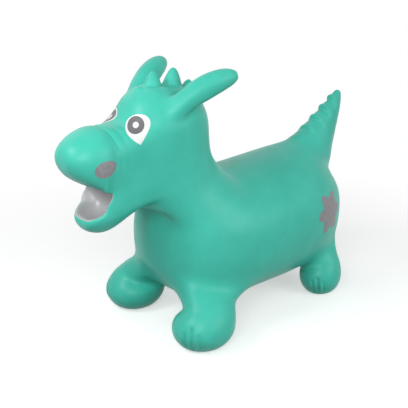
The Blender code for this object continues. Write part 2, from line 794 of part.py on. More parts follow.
def painted(name, skin, zone, surface, place, facing, side, outline, look, layer=0, hole_share=0):
    """A thin film that lies parallel to the skin, trimmed to an outline seen from straight ahead."""
    axes = frame_at(facing, side)
    outward = axes[0]
    start = place + outward * HEAD_HALF_LENGTH
    centre = surface.ray_cast(start, -outward)[0]
    turns = [2 * pi * spoke / PAINT_SPOKES for spoke in range(PAINT_SPOKES)]
    reach = max(Vector(outline(turn)).length for turn in turns) + PAINT_MARGIN
    faces = []
    for face in zone_faces(skin, {zone}):
        if face.normal.dot(outward) > 0 and (face.center - centre).length < reach:
            faces.append(face)
    low = CLEARANCE + layer * (PAINT + CLEARANCE)
    film = add_solid(name, patch_layer(skin, faces, low, low + PAINT, 0), look)
    cutter = add_solid(f"{name}_outline", outline_prism(centre, axes, outline, hole_share, reach), look)
    add_modifier_solid(film, "INTERSECT", cutter)


def eye_outline(turn):
    """A drop with its point down and a little to the rear."""
    wide = sin(turn) * sin(turn / 2) / EYE_POINT_SHARE
    lean = EYE_LEAN_SHARES[0 if cos(turn) > 0 else 1] * cos(turn) ** 2
    return EYE_HALF_WIDTH * (wide + lean), -EYE_HALF_HEIGHT * cos(turn)


def nostril_outline(turn):
    return NOSTRIL_HALF_WIDTH * cos(turn), NOSTRIL_HALF_HEIGHT * sin(turn)


def mark_outline(turn):
    radius = MARK_RADIUS - MARK_PETAL_DEPTH * (1 - cos(MARK_PETALS * turn)) / 2
    return radius * cos(turn), radius * sin(turn)


def ring_outline(turn):
    return RING_RADIUS * cos(turn), RING_RADIUS * sin(turn)


def surface_of(mesh):
    places = [vertex.co for vertex in mesh.vertices]
    return BVHTree.FromPolygons(places, [tuple(face.vertices) for face in mesh.polygons])


def add_skin(skin, surface, look):
    body = skin_piece("torso_skin", skin, zone_faces(skin, {BODY}), look)
    head = skin_piece("head_skin", skin, zone_faces(skin, {HEAD, MOUTH}), look)
    for index, share in enumerate(SPIKE_SHARES):
        bump = add_solid(f"spike_{index}", spike(surface, *share), look)
        add_modifier_solid(head, "UNION", bump)

    first, second = HORN_RING_SHARES[0][0], HORN_RING_SHARES[HORN_BAND_ROWS][0]
    for name, side in (("left", 1), ("right", -1)):
        place = HORN_ROOT.lerp(HORN_TIP, (first + second) / 2)
        pivot = Vector((place.x * side, place.y, place.z))
        skin_piece(f"{name}_horn_band", skin, zone_faces(skin, {HORN_BAND}, side), look)
        skin_piece(f"{name}_horn", skin, zone_faces(skin, {HORN}, side), look, pivot)

    band = skin_piece("tail_band", skin, zone_faces(skin, {TAIL_BAND}), look)
    front, back = tail_edges(*TAIL_RING_SHARES[1][:3])
    tail = skin_piece("tail", skin, zone_faces(skin, {TAIL}), look, (front + back) / 2)
    for index, place in enumerate(SCALE_PLACE_SHARES):
        ridge = add_solid(f"scale_{index}", tail_scale(place), look)
        add_modifier_solid(tail if place > TAIL_RING_SHARES[2][0] else band, "UNION", ridge)

    for end, rear in (("front", False), ("rear", True)):
        for name, side in (("left", 1), ("right", -1)):
            skin_piece(f"{end}_{name}_leg", skin, zone_faces(skin, {LEG}, side, rear), look)
            skin_piece(f"{end}_{name}_foot", skin, zone_faces(skin, {FOOT}, side, rear), look)
    return body


def add_valve(body, surface, look):
    """The seat fills a hole in the belly. The plug goes up the seat and its head closes over the flange."""
    belly_z = surface.ray_cast(Vector((0, VALVE_Y, 0)), Vector((0, 0, 1)))[0].z
    hole_radius = SEAT_RADIUS + CLEARANCE
    bore_radius = PLUG_RADIUS + CLEARANCE
    hole = add_solid(
        "valve_hole",
        turned(
            (
                (0, belly_z - CUT_OVERRUN),
                (hole_radius, belly_z - CUT_OVERRUN),
                (hole_radius, belly_z + WALL + CUT_OVERRUN),
                (0, belly_z + WALL + CUT_OVERRUN),
            ),
            VALVE_Y,
            TURNED_STEPS,
        ),
        look,
    )
    add_modifier_solid(body, "DIFFERENCE", hole)
    flange_top = belly_z - CLEARANCE
    flange_bottom = flange_top - SEAT_FLANGE
    seat_top = flange_bottom + SEAT_DEPTH
    seat = turned(
        (
            (bore_radius, flange_bottom),
            (SEAT_FLANGE_RADIUS, flange_bottom),
            (SEAT_FLANGE_RADIUS, flange_top),
            (SEAT_RADIUS, flange_top),
            (SEAT_RADIUS, seat_top),
            (bore_radius, seat_top),
        ),
        VALVE_Y,
        TURNED_STEPS,
    )
    add_solid("valve_seat", seat, look)
    head_top = flange_bottom - CLEARANCE
    plug = turned(
        (
            (0, head_top - PLUG_HEAD),
            (PLUG_HEAD_RADIUS, head_top - PLUG_HEAD),
            (PLUG_HEAD_RADIUS, head_top),
            (PLUG_RADIUS, head_top),
            (PLUG_RADIUS, head_top + PLUG_DEPTH),
            (0, head_top + PLUG_DEPTH),
        ),
        VALVE_Y,
        TURNED_STEPS,
    )
    add_solid("valve_plug", plug, look, Vector((0, VALVE_Y, head_top)))


def add_paint(skin, surface, silver, grey, white):
    lining = patch_layer(skin, zone_faces(skin, {MOUTH}), CLEARANCE, CLEARANCE + PAINT, CLEARANCE)
    add_solid("mouth_lining", lining, silver)
    for name, side in (("left", 1), ("right", -1)):
        mirrored = Vector((side, 1, 1))
        across, ahead, up = EYE_PLACE_SHARES
        eye = Vector(
            (across * HEAD_HALF_WIDTH, HEAD_SET_BACK - ahead * HEAD_HALF_LENGTH, NECK_Z + up * HEAD_HEIGHT)
        )
        eye *= mirrored
        nostril = muzzle_place(*NOSTRIL_PLACE_SHARES) * mirrored
        across, along, up = MARK_PLACE_SHARES
        mark = Vector((across * BODY_HALF_WIDTH, along * BODY_LENGTH, BODY_AXIS_Z + up * BODY_RISE))
        mark *= mirrored

        _, eye_rear, eye_up = frame_at(EYE_FACING_SHARES, side)
        rearward, upward = RING_PLACE_SHARES
        ring = eye + eye_rear * rearward * EYE_HALF_WIDTH + eye_up * upward * EYE_HALF_HEIGHT
        eye_look = (skin, HEAD, surface, eye, EYE_FACING_SHARES, side, eye_outline, white)
        ring_look = (skin, HEAD, surface, ring, EYE_FACING_SHARES, side, ring_outline, grey)
        nostril_look = (skin, HEAD, surface, nostril, NOSTRIL_FACING_SHARES, side, nostril_outline, grey)
        mark_look = (skin, BODY, surface, mark, MARK_FACING_SHARES, side, mark_outline, grey)
        painted(f"{name}_eye_white", *eye_look)
        painted(f"{name}_eye_ring", *ring_look, layer=1, hole_share=RING_HOLE_RADIUS / RING_RADIUS)
        painted(f"{name}_nostril", *nostril_look)
        painted(f"{name}_rump_mark", *mark_look)


def centre_on_origin(skin):
    """Moves everything along Y, so that the origin lies under the middle of the toy."""
    places = [vertex.co.y for vertex in skin.vertices]
    middle = (min(places) + max(places)) / 2
    for thing in bpy.data.objects:
        thing.location.y -= middle


def main():
    for thing in list(bpy.data.objects):
        bpy.data.objects.remove(thing)
    teal = material("teal_vinyl", TEAL, VINYL_ROUGHNESS)
    silver = material("silver_paint", SILVER, SILVER_ROUGHNESS, SILVER_METALLIC)
    grey = material("grey_paint", GREY, PAINT_ROUGHNESS)
    white = material("white_paint", WHITE, PAINT_ROUGHNESS)
    natural = material("natural_vinyl", NATURAL, VINYL_ROUGHNESS)
    skin = smooth_skin(SMOOTH_LEVELS)
    surface = surface_of(skin)
    body = add_skin(skin, surface, teal)
    add_valve(body, surface, natural)
    add_paint(skin, surface, silver, grey, white)
    centre_on_origin(skin)
    bpy.data.meshes.remove(skin)


main()
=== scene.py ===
"""Bouncy ride-on animal: fine detail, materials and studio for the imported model."""

from math import cos, pi, radians, sin

import bmesh
import bpy
import numpy as np
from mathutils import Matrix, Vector
from mathutils.bvhtree import BVHTree


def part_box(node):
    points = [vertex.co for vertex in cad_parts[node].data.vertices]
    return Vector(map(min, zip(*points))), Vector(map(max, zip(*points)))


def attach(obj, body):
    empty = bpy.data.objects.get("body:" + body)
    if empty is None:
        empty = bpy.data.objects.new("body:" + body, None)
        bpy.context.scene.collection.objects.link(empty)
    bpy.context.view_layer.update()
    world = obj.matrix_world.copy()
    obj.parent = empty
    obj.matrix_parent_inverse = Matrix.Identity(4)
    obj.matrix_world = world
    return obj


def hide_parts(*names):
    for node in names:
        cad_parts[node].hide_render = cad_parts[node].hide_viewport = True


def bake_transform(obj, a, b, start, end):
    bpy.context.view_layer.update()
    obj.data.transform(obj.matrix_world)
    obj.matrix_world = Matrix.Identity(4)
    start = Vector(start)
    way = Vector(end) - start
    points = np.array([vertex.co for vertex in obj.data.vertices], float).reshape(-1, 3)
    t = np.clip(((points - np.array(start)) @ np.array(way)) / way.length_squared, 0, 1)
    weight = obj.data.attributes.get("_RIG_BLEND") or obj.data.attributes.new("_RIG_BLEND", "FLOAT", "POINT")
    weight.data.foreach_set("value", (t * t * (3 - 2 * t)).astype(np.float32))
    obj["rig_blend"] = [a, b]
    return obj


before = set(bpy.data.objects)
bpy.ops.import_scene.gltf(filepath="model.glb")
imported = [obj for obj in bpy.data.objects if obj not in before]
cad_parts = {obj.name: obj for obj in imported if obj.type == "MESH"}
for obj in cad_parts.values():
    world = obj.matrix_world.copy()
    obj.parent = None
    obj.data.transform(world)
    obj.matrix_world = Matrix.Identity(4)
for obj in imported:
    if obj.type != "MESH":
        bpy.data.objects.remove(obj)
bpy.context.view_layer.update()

# Body: a long barrel, nearly round, with fuller lower corners
BODY_LENGTH = 0.394
BODY_HALF_WIDTH = 0.118
BODY_RISE = 0.106
BODY_DROP = 0.112
BELLY_HEIGHT = 0.038
BODY_AXIS_Z = BELLY_HEIGHT + BODY_DROP
BODY_TOP_Z = BODY_AXIS_Z + BODY_RISE
BODY_END_BULGE = 0.008
BODY_RISE_ROUNDNESS = 0.92
BODY_DROP_ROUNDNESS = 0.72
BODY_RING_ANGLES = (0, 28, 60, 82, 101, 120, 139, 159, 180)
# Along the body, then half width, rise and drop
BODY_RING_SHARES = (
    (0.000, 0.305, 0.300, 0.390),
    (0.038, 0.620, 0.640, 0.680),
    (0.117, 0.847, 0.877, 0.893),
    (0.226, 0.958, 0.934, 0.964),
    (0.340, 0.992, 0.920, 0.991),
    (0.467, 1.000, 0.930, 1.000),
    (0.589, 1.000, 0.960, 1.000),
    (0.708, 0.980, 0.995, 0.980),
    (0.822, 0.895, 0.965, 0.930),
    (0.929, 0.720, 0.760, 0.825),
    (1.000, 0.435, 0.400, 0.535),
)

# Head and neck: rings that lean forward at the throat and lie level at the crown
HEAD_SET_BACK = 0.027
NECK_SINK = 0.022
NECK_Z = BODY_TOP_Z - NECK_SINK
HEAD_HEIGHT = 0.163
CROWN_Z = NECK_Z + HEAD_HEIGHT
HEAD_HALF_WIDTH = 0.070
HEAD_HALF_LENGTH = 0.078
HEAD_SIDE_POINTS = 8
# Set back, height, half width, half length, forward lean in degrees, roundness of the front half
HEAD_RING_SHARES = (
    (0.346, 0.000, 1.114, 1.051, 106, 1.00),
    (0.115, 0.155, 1.014, 1.000, 107, 1.00),
    (0.038, 0.333, 0.986, 0.987, 102, 0.95),
    (0.000, 0.521, 0.986, 1.000, 96, 0.86),
    (0.000, 0.712, 0.980, 0.970, 92, 0.80),
    (0.013, 0.908, 0.740, 0.800, 85, 0.86),
    (0.050, 1.000, 0.386, 0.460, 84, 0.95),
)

# Muzzle: a ball of a snout over an open mouth and a scooped lower jaw
MUZZLE_REACH = 0.025
MUZZLE_Y = HEAD_SET_BACK - HEAD_HALF_LENGTH - MUZZLE_REACH
MOUTH_RISE = 0.030
MOUTH_Z = NECK_Z + MOUTH_RISE
SNOUT_HALF_WIDTH = 0.052
SNOUT_LENGTH = 0.071
SNOUT_RISE = 0.092
CHIN_DROP = 0.071
WRINKLE_DEPTH = 0.0012
SNOUT_AXIS_SHARE = 0.58
# Each point: across, forward of the muzzle line, above the mouth (or, if negative, towards the chin)
MUZZLE_SHARES = (
    (0.00, 0.00, 1.00),
    (0.56, 0.00, 0.92),
    (0.96, 0.01, 0.63),
    (0.68, 0.20, -0.05),
    (0.67, 0.22, -0.14),
    (0.77, -0.08, -0.50),
    (0.42, -0.11, -0.85),
    (0.00, -0.14, -0.90),
)
PALATE_SHARES = ((0.44, 0.02, 0.00), (0.00, 0.02, -0.02))
TONGUE_SHARES = ((0.00, -0.02, -0.45), (0.42, 0.00, -0.40))
SNOUT_RING_SHARES = (
    (
        (0.00, 0.37, 1.00), (0.58, 0.37, 0.93), (1.00, 0.37, 0.61),
        (0.80, 0.42, 0.05), (0.46, 0.38, 0.03), (0.00, 0.37, 0.02),
    ),
    (
        (0.00, 0.61, 0.95), (0.54, 0.61, 0.88), (0.92, 0.61, 0.60),
        (0.79, 0.66, 0.21), (0.42, 0.61, 0.12), (0.00, 0.61, 0.10),
    ),
    (
        (0.00, 0.89, 0.83), (0.40, 0.89, 0.78), (0.67, 0.89, 0.58),
        (0.58, 0.89, 0.37), (0.31, 0.89, 0.26), (0.00, 0.89, 0.24),
    ),
    (
        (0.00, 1.03, 0.69), (0.21, 1.03, 0.66), (0.35, 1.03, 0.57),
        (0.29, 1.03, 0.47), (0.15, 1.03, 0.42), (0.00, 1.03, 0.41),
    ),
)
LIP_CREASE = 0.5
# Where the wrinkles lie between the muzzle line and the first snout ring, and how deep each is
WRINKLE_SHARES = ((0.33, 1.0), (0.66, -0.4))
JAW_RING_SHARES = (
    (
        (0.00, 0.24, -0.64), (0.38, 0.24, -0.60), (0.69, 0.38, -0.33),
        (0.77, 0.28, -0.58), (0.42, 0.25, -0.94), (0.00, 0.25, -1.00),
    ),
    (
        (0.00, 0.50, -0.62), (0.33, 0.50, -0.59), (0.57, 0.53, -0.48),
        (0.63, 0.53, -0.62), (0.36, 0.51, -0.87), (0.00, 0.51, -0.93),
    ),
    (
        (0.00, 0.68, -0.55), (0.20, 0.68, -0.55), (0.32, 0.68, -0.56),
        (0.36, 0.67, -0.68), (0.23, 0.67, -0.79), (0.00, 0.67, -0.81),
    ),
)

# Horns: two long soft grips swept back from the crown
HORN_INSET = 0.0155
HORN_SET_FORWARD = 0.005
HORN_DROP = 0.020
HORN_SPREAD = 0.033
HORN_REACH = 0.079
HORN_CLIMB = 0.038
HORN_ROOT = Vector((HEAD_HALF_WIDTH - HORN_INSET, HEAD_SET_BACK - HORN_SET_FORWARD, CROWN_Z - HORN_DROP))
HORN_TIP = HORN_ROOT + Vector((HORN_SPREAD, HORN_REACH, HORN_CLIMB))
HORN_ARCH = 0.0082
HORN_RADIUS = 0.0245
HORN_SIDES = 8
HORN_BAND_ROWS = 2
HORN_LEAN_SHARES = (0.66, 0.25, 0.72)
# The collar lies between the opening in the head and the first ring of the horn, sunk towards the head
HORN_COLLAR_SHARE = 0.55
HORN_COLLAR_SINK = 0.003
# Along the horn, arch, radius
HORN_RING_SHARES = (
    (-0.03, 0.00, 0.76),
    (0.08, 0.28, 0.74),
    (0.20, 0.54, 0.77),
    (0.44, 0.84, 0.83),
    (0.71, 0.76, 0.75),
    (0.90, 0.36, 0.56),
    (1.00, 0.04, 0.24),
)

# Tail: a tall fin that leans back, with scales down its front edge
TAIL_SET_FORWARD = 0.074
TAIL_STEP = 0.002
TAIL_OVERHANG = 0.013
TAIL_BACK_DROP = 0.044
TAIL_LEAN = 0.047
TAIL_HEIGHT = 0.086
TAIL_FRONT = Vector((0, BODY_LENGTH - TAIL_SET_FORWARD, BODY_TOP_Z + TAIL_STEP))
TAIL_BACK = Vector((0, BODY_LENGTH + TAIL_OVERHANG, BODY_TOP_Z - TAIL_BACK_DROP))
TAIL_TIP = Vector((0, BODY_LENGTH + TAIL_LEAN, BODY_TOP_Z + TAIL_HEIGHT))
TAIL_HALF_WIDTH = 0.046
TAIL_BACK_BULGE = 0.013
TAIL_END_BULGE = 0.004
TAIL_SIDE_POINTS = 6
# Up the front edge, up the back edge, bulge of the back edge, half width
TAIL_RING_SHARES = (
    (0.00, 0.00, 0.00, 1.00),
    (0.19, 0.12, 0.25, 0.76),
    (0.38, 0.33, 0.62, 0.56),
    (0.58, 0.56, 0.90, 0.39),
    (0.77, 0.76, 1.00, 0.26),
    (0.94, 0.93, 0.55, 0.15),
)
SCALE_PLACE_SHARES = (0.12, 0.30, 0.48, 0.66, 0.83)

# Legs: short, each widening into a round foot cut flat underneath
LEG_OVERLAP = 0.025
LEG_HEIGHT = BELLY_HEIGHT + LEG_OVERLAP
LEG_LIFT = 0.023
LEG_END_LIFT = 0.014
LEG_TUCK = 0.010
# How far from leg to foot, fullness across and along, height, lift of the outer side and of the far end
LEG_RING_SHARES = (
    (0.04, 1.00, 1.00, 0.94, 0.75),
    (0.26, 1.00, 0.92, 0.87, 0.62),
    (0.66, 1.00, 0.96, 0.78, 0.42),
    (0.97, 1.00, 1.00, 0.60, 0.12),
    (1.00, 0.97, 0.97, 0.33, 0.00),
    (1.00, 0.76, 0.76, 0.08, 0.00),
    (1.00, 0.44, 0.44, -0.045, 0.00),
)
FRONT_FOOT_INSET = 0.027
FRONT_FOOT_SET_BACK = 0.032
FRONT_FOOT_HALF_WIDTH = 0.052
FRONT_FOOT_HALF_LENGTH = 0.057
FRONT_LEG_HALF_WIDTH = 0.034
FRONT_LEG_HALF_LENGTH = 0.052
FRONT_LEG_SET_BACK = 0.024
FRONT_LEG_SIDES = 10
REAR_FOOT_INSET = 0.031
REAR_FOOT_SET_FORWARD = 0.080
REAR_FOOT_HALF_WIDTH = 0.041
REAR_FOOT_HALF_LENGTH = 0.044
REAR_LEG_HALF_WIDTH = 0.030
REAR_LEG_HALF_LENGTH = 0.041
REAR_LEG_SET_BACK = 0.003
REAR_LEG_SIDES = 8
FRONT_FOOT = (BODY_HALF_WIDTH - FRONT_FOOT_INSET, FRONT_FOOT_SET_BACK)
REAR_FOOT = (BODY_HALF_WIDTH - REAR_FOOT_INSET, BODY_LENGTH - REAR_FOOT_SET_FORWARD)

# Soft spikes along the crown
SPIKE_HEIGHT = 0.027
SPIKE_RADIUS = 0.0150
# Behind the middle of the head, height above the crown, radius at the base
SPIKE_SHARES = (
    (-0.55, 0.20, 0.52),
    (-0.20, 0.80, 0.92),
    (0.27, 1.00, 1.00),
    (0.70, 0.68, 0.84),
)

# Painted eyes, nostrils and rump marks. Each faces outward along its own direction.
# Across, forward and up in the head's measures, then the way each faces
EYE_PLACE_SHARES = (0.669, 1.029, 0.718)
EYE_FACING_SHARES = (0.72, -0.66, 0.20)
EYE_HALF_WIDTH = 0.0180
EYE_HALF_HEIGHT = 0.0212
EYE_POINT_SHARE = 0.77
EYE_LEAN_SHARES = (0.30, 0.12)
RING_PLACE_SHARES = (-0.14, 0.29)
RING_RADIUS = 0.0124
RING_HOLE_RADIUS = 0.0045
# Across, forward and up in the muzzle's measures
NOSTRIL_PLACE_SHARES = (0.81, 0.385, 0.435)
NOSTRIL_FACING_SHARES = (0.86, -0.42, -0.28)
NOSTRIL_HALF_WIDTH = 0.0160
NOSTRIL_HALF_HEIGHT = 0.0117
# Across, along and up in the body's measures
MARK_PLACE_SHARES = (0.91, 0.785, 0.071)
MARK_FACING_SHARES = (0.92, 0.38, 0.10)
MARK_RADIUS = 0.038
MARK_PETALS = 6
MARK_PETAL_DEPTH = 0.012

# Air valve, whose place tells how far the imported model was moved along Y
VALVE_PLACE_SHARE = 0.44
VALVE_Y = VALVE_PLACE_SHARE * BODY_LENGTH
PLUG_LOW, PLUG_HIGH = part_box("valve_plug")
SHIFT = Vector((0, (PLUG_LOW.y + PLUG_HIGH.y) / 2 - VALVE_Y, 0))

# The sides of the toy with the sign of their X, and its ends with whether each is the rear one
SIDES = (("left", 1), ("right", -1))
ENDS = (("front", False), ("rear", True))

# Zones of the skin
BODY, HEAD, MOUTH, HORN_BAND, HORN, TAIL_BAND, TAIL, LEG, FOOT = range(9)

# Openings in the cage: first and last ring, then first and last column. The ring round the neck is ring 0 of
# the head, and the muzzle's opening is taken from its top ring down.
NECK_OPENING = (1, 4, 0, 2)
TAIL_OPENING = (7, 10, 0, 1)
FRONT_LEG_OPENING = (1, 4, 5, 7)
REAR_LEG_OPENING = (7, 9, 5, 7)
MUZZLE_OPENING = (5, 2, 0, 2)
HORN_OPENING = (5, 7, 2, 4)

# Legs of the cage: opening, foot, half sizes of the foot and of the leg, set back, end, sides
LEGS = (
    (
        FRONT_LEG_OPENING,
        FRONT_FOOT,
        (FRONT_FOOT_HALF_WIDTH, FRONT_FOOT_HALF_LENGTH),
        (FRONT_LEG_HALF_WIDTH, FRONT_LEG_HALF_LENGTH),
        FRONT_LEG_SET_BACK,
        -1,
        FRONT_LEG_SIDES,
    ),
    (
        REAR_LEG_OPENING,
        REAR_FOOT,
        (REAR_FOOT_HALF_WIDTH, REAR_FOOT_HALF_LENGTH),
        (REAR_LEG_HALF_WIDTH, REAR_LEG_HALF_LENGTH),
        REAR_LEG_SET_BACK,
        1,
        REAR_LEG_SIDES,
    ),
)

# Corners of the quads that close the throat and the ends of snout and jaw
THROAT_QUADS = ((1, 0, 3, 2), (0, 4, 5, 3))
MUZZLE_END_QUADS = ((0, 1, 4, 5), (1, 2, 3, 4))
# Bands of the snout whose underside is in the mouth, and points on the mouth side of a wrinkled ring
PALATE_BANDS = 3
MOUTH_SIDE_POINTS = 3

# Smoothing of the cage
MIRROR_MERGE = 0.0001
FINE_LEVELS = 4

# Creases between the toes: turn from straight ahead in degrees, top, bottom, depth
FRONT_TOE_CREASES = (
    (29, 0.052, 0.014, 0.0036),
    (16, 0.043, 0.014, 0.0026),
    (43, 0.043, 0.016, 0.0024),
)
REAR_TOE_CREASES = (
    (36, 0.042, 0.013, 0.0032),
    (22, 0.036, 0.013, 0.0024),
    (51, 0.036, 0.015, 0.0022),
)
# Pads between them: turn, height, rise
FRONT_TOE_PADS = ((23, 0.030, 0.0013), (36, 0.030, 0.0013), (7, 0.030, 0.0011), (54, 0.030, 0.0009))
REAR_TOE_PADS = ((29, 0.026, 0.0012), (43, 0.026, 0.0012), (13, 0.026, 0.0009))
CREASE_WIDTH = 0.0023
CREASE_FADE = 0.007
CREASE_SLANT = 0.095
PAD_WIDTH = 0.0048
PAD_HEIGHT = 0.010
# Half lengths of the foot out from its middle at which both end, and at which they have their full depth
TOE_REACH_SHARE = 1.5
TOE_FULL_SHARE = 0.5

# Wrinkles round the root of the snout: behind the muzzle line, lean, depth, width
SNOUT_WRINKLES = (
    (-0.001, -0.24, 0.0008, 0.0021),
    (0.0045, -0.20, -0.0004, 0.0024),
    (0.010, -0.12, 0.0008, 0.0021),
    (0.0155, -0.06, -0.0003, 0.0028),
)
WRINKLE_FADE = 0.028

# Scales on the front edge of the tail: rise of each step, then how far it runs up, down and in
SCALE_RISES = (0.0014, 0.0028, 0.0038, 0.0040, 0.0036)
SCALE_UPPER = 0.0058
SCALE_LOWER = 0.0030
SCALE_DEPTH = 0.009
SCALE_SLANT = 0.18
# The notch under each step: drop and width as shares of how far the step runs down, depth of its rise
NOTCH_DROP_SHARE = 2.3
NOTCH_WIDTH_SHARE = 1.3
NOTCH_DEPTH_SHARE = 0.7
# The rib that runs on from each step along the side, and the groove under it as shares of the rib
RIB_RISE = 0.0003
RIB_WIDTH = 0.0035
RIB_REACH = 0.013
GROOVE_DROP_SHARE = 1.7
GROOVE_WIDTH_SHARE = 1.3

# Crown spikes, which stand only on the upper part of the head
SPIKE_FILLET_SHARE = 0.06
SPIKE_SINK_SHARE = 0.072
SPIKE_LEAN_SHARE = 0.12
CROWN_DEPTH = 2 * SPIKE_HEIGHT
CROWN_FACING_UP = 0.2

# Stretches smoothed out at the roots of the legs and horns: middle and reach
LEG_TOP_SHARE = 0.85
RELAXED_ROUND = (
    ((FRONT_FOOT[0] * LEG_TOP_SHARE, FRONT_FOOT[1], LEG_HEIGHT), 0.075),
    ((REAR_FOOT[0] * LEG_TOP_SHARE, REAR_FOOT[1], LEG_HEIGHT), 0.070),
    (HORN_ROOT, 0.045),
)
RELAX_SHARE = 0.5
RELAX_TIMES = 40

# Flexing stretches
HORN_BEND = 0.035
TAIL_BEND = 0.040

# Films of paint
FILM_LIFT = 0.00022
FILM_RINGS = 20
FILM_SPOKES = 120
FILM_CAST = 0.06
FILM_EDGE_ANGLE = 50

# Surfaces: dark and light tone, roughness, mottling, grain, relief, metal, coat, specular
SURFACES = {
    "teal_vinyl": ((0.062, 0.580, 0.450), (0.074, 0.630, 0.495), 0.36, 22, 900, 0.08, 0, 0, 0.25),
    "silver_paint": ((0.42, 0.42, 0.435), (0.46, 0.455, 0.47), 0.40, 30, 1200, 0.02, 0.12, 0.3, 0.5),
    "grey_paint": ((0.255, 0.250, 0.268), (0.315, 0.310, 0.328), 0.42, 160, 1200, 0.10, 0, 0, 0.5),
    "ring_paint": ((0.150, 0.146, 0.154), (0.190, 0.184, 0.194), 0.42, 160, 1200, 0.10, 0, 0, 0.3),
    "white_paint": ((0.86, 0.89, 0.88), (0.90, 0.93, 0.92), 0.38, 90, 900, 0.06, 0, 0, 0.5),
    "natural_vinyl": ((0.66, 0.69, 0.66), (0.74, 0.76, 0.73), 0.42, 120, 900, 0.08, 0, 0, 0.5),
}
# A surface that fills the slot of another one
COAT_ROUGHNESS = 0.25
GRAIN_DEPTH = 0.0004
# Where the dark tone ends and the light one begins in the mottling, and the range of wear that counts
MOTTLE_STOPS = (0.35, 0.65)
WEAR_STOPS = (0.3, 0.7)
# How far the wear takes the roughness down and up, and its scale against the mottling
WEAR_SMOOTHER = 0.05
WEAR_ROUGHER = 0.06
WEAR_SCALE_SHARE = 2.3
# Detail and roughness of each noise
MOTTLE_NOISE = (3.0, 0.55)
WEAR_NOISE = (4.0, 0.55)
GRAIN_NOISE = (2.0, 0.5)

# Camera
CAMERA_TURN = 49.3
CAMERA_TILT = 20.0
CAMERA_PLACE = (0.855, -0.7723, 0.600)
CAMERA_LENS = 64.15
CAMERA_SENSOR = 36

# Studio paper, which runs out to plain white between the near and the far distance from its middle
FLOOR_REACH = 14
FLOOR_NEAR = 0.40
FLOOR_FAR = 0.85
FLOOR_TONES = ((0.84, 0.86, 0.85), (0.87, 0.885, 0.875))
FLOOR_STOPS = (0.3, 0.7)
FLOOR_MOTTLE = 3.0
FLOOR_ROUGHNESS = 0.7
FLOOR_SPECULAR = 0.2
# What its glow adds where it is seen, and the colour that it throws back onto the toy
FLOOR_GLOW = 0.49
FLOOR_BOUNCE = (0.14, 0.145, 0.145, 1)

# World: its light on the toy, and its brightness where it is seen
WHITE = (1, 1, 1, 1)
WORLD_STRENGTH = 0.18
BACKDROP_STRENGTH = 1.0

# Lamps: name, what each is aimed at, turn and tilt in degrees, distance, size, power
LAMPS = (
    ("snout_lamp", (0, -0.24, 0.33), 350, 40, 0.8, 0.35, 3.5),
    ("side_lamp", (0, 0, 0.2), 108, 22, 2.2, 1.4, 17.5),
    ("head_lamp", (0, -0.16, 0.33), 44, 24, 1.1, 0.6, 5.8),
    ("far_lamp", (0, 0, 0.2), 275, 38, 2.2, 1.4, 4),
)


def signed_power(value, power):
    return abs(value) ** power if value >= 0 else -(abs(value) ** power)


def midline_sine(step, steps):
    """The sine round a half ring, exactly zero at both ends, so that they lie on the mirror plane."""
    return sin(pi * step / steps) if 0 < step < steps else 0.0


# The half cage of the skin


def body_ring(mesh, along, width, rise, drop):
    ring = []
    last = len(BODY_RING_ANGLES) - 1
    for step, angle in enumerate(BODY_RING_ANGLES):
        up = cos(radians(angle))
        across = sin(radians(angle)) if 0 < step < last else 0.0
        power = BODY_RISE_ROUNDNESS if up >= 0 else BODY_DROP_ROUNDNESS
        height = rise * BODY_RISE if up >= 0 else drop * BODY_DROP
        place = (
            width * BODY_HALF_WIDTH * across**power,
            along * BODY_LENGTH,
            BODY_AXIS_Z + height * signed_power(up, power),
        )
        ring.append(mesh.verts.new(place))
    return ring


def head_ring(mesh, back, rise, width, length, lean, roundness):
    forward = Vector((0, -sin(radians(lean)), cos(radians(lean))))
    centre = Vector((0, HEAD_SET_BACK + back * HEAD_HALF_LENGTH, NECK_Z + rise * HEAD_HEIGHT))
    last = HEAD_SIDE_POINTS - 1
    ring = []
    for step in range(HEAD_SIDE_POINTS):
        ahead = cos(pi * step / last)
        power = roundness if ahead > 0 else 1
        across = midline_sine(step, last) ** power
        place = centre + forward * (length * HEAD_HALF_LENGTH * signed_power(ahead, power))
        place.x = width * HEAD_HALF_WIDTH * across
        ring.append(mesh.verts.new(place))
    return ring


def muzzle_place(across, ahead, up):
    height = SNOUT_RISE if up > 0 else CHIN_DROP
    return Vector((across * SNOUT_HALF_WIDTH, MUZZLE_Y - ahead * SNOUT_LENGTH, MOUTH_Z + up * height))


def muzzle_points(mesh, shares):
    return [mesh.verts.new(muzzle_place(*share)) for share in shares]


def wrinkle_ring(mesh, back, front, along, depth):
    """A ring between two others, drawn in or pushed out round the snout. Its mouth side stays plain."""
    axis_z = muzzle_place(0, 0, SNOUT_AXIS_SHARE).z
    ring = []
    for step, (near, far) in enumerate(zip(back, front)):
        place = near.co.lerp(far.co, along)
        outward = Vector((place.x, 0, place.z - axis_z)).normalized()
        if step < len(back) - MOUTH_SIDE_POINTS:
            place -= outward * depth * WRINKLE_DEPTH
        ring.append(mesh.verts.new(place))
    return ring


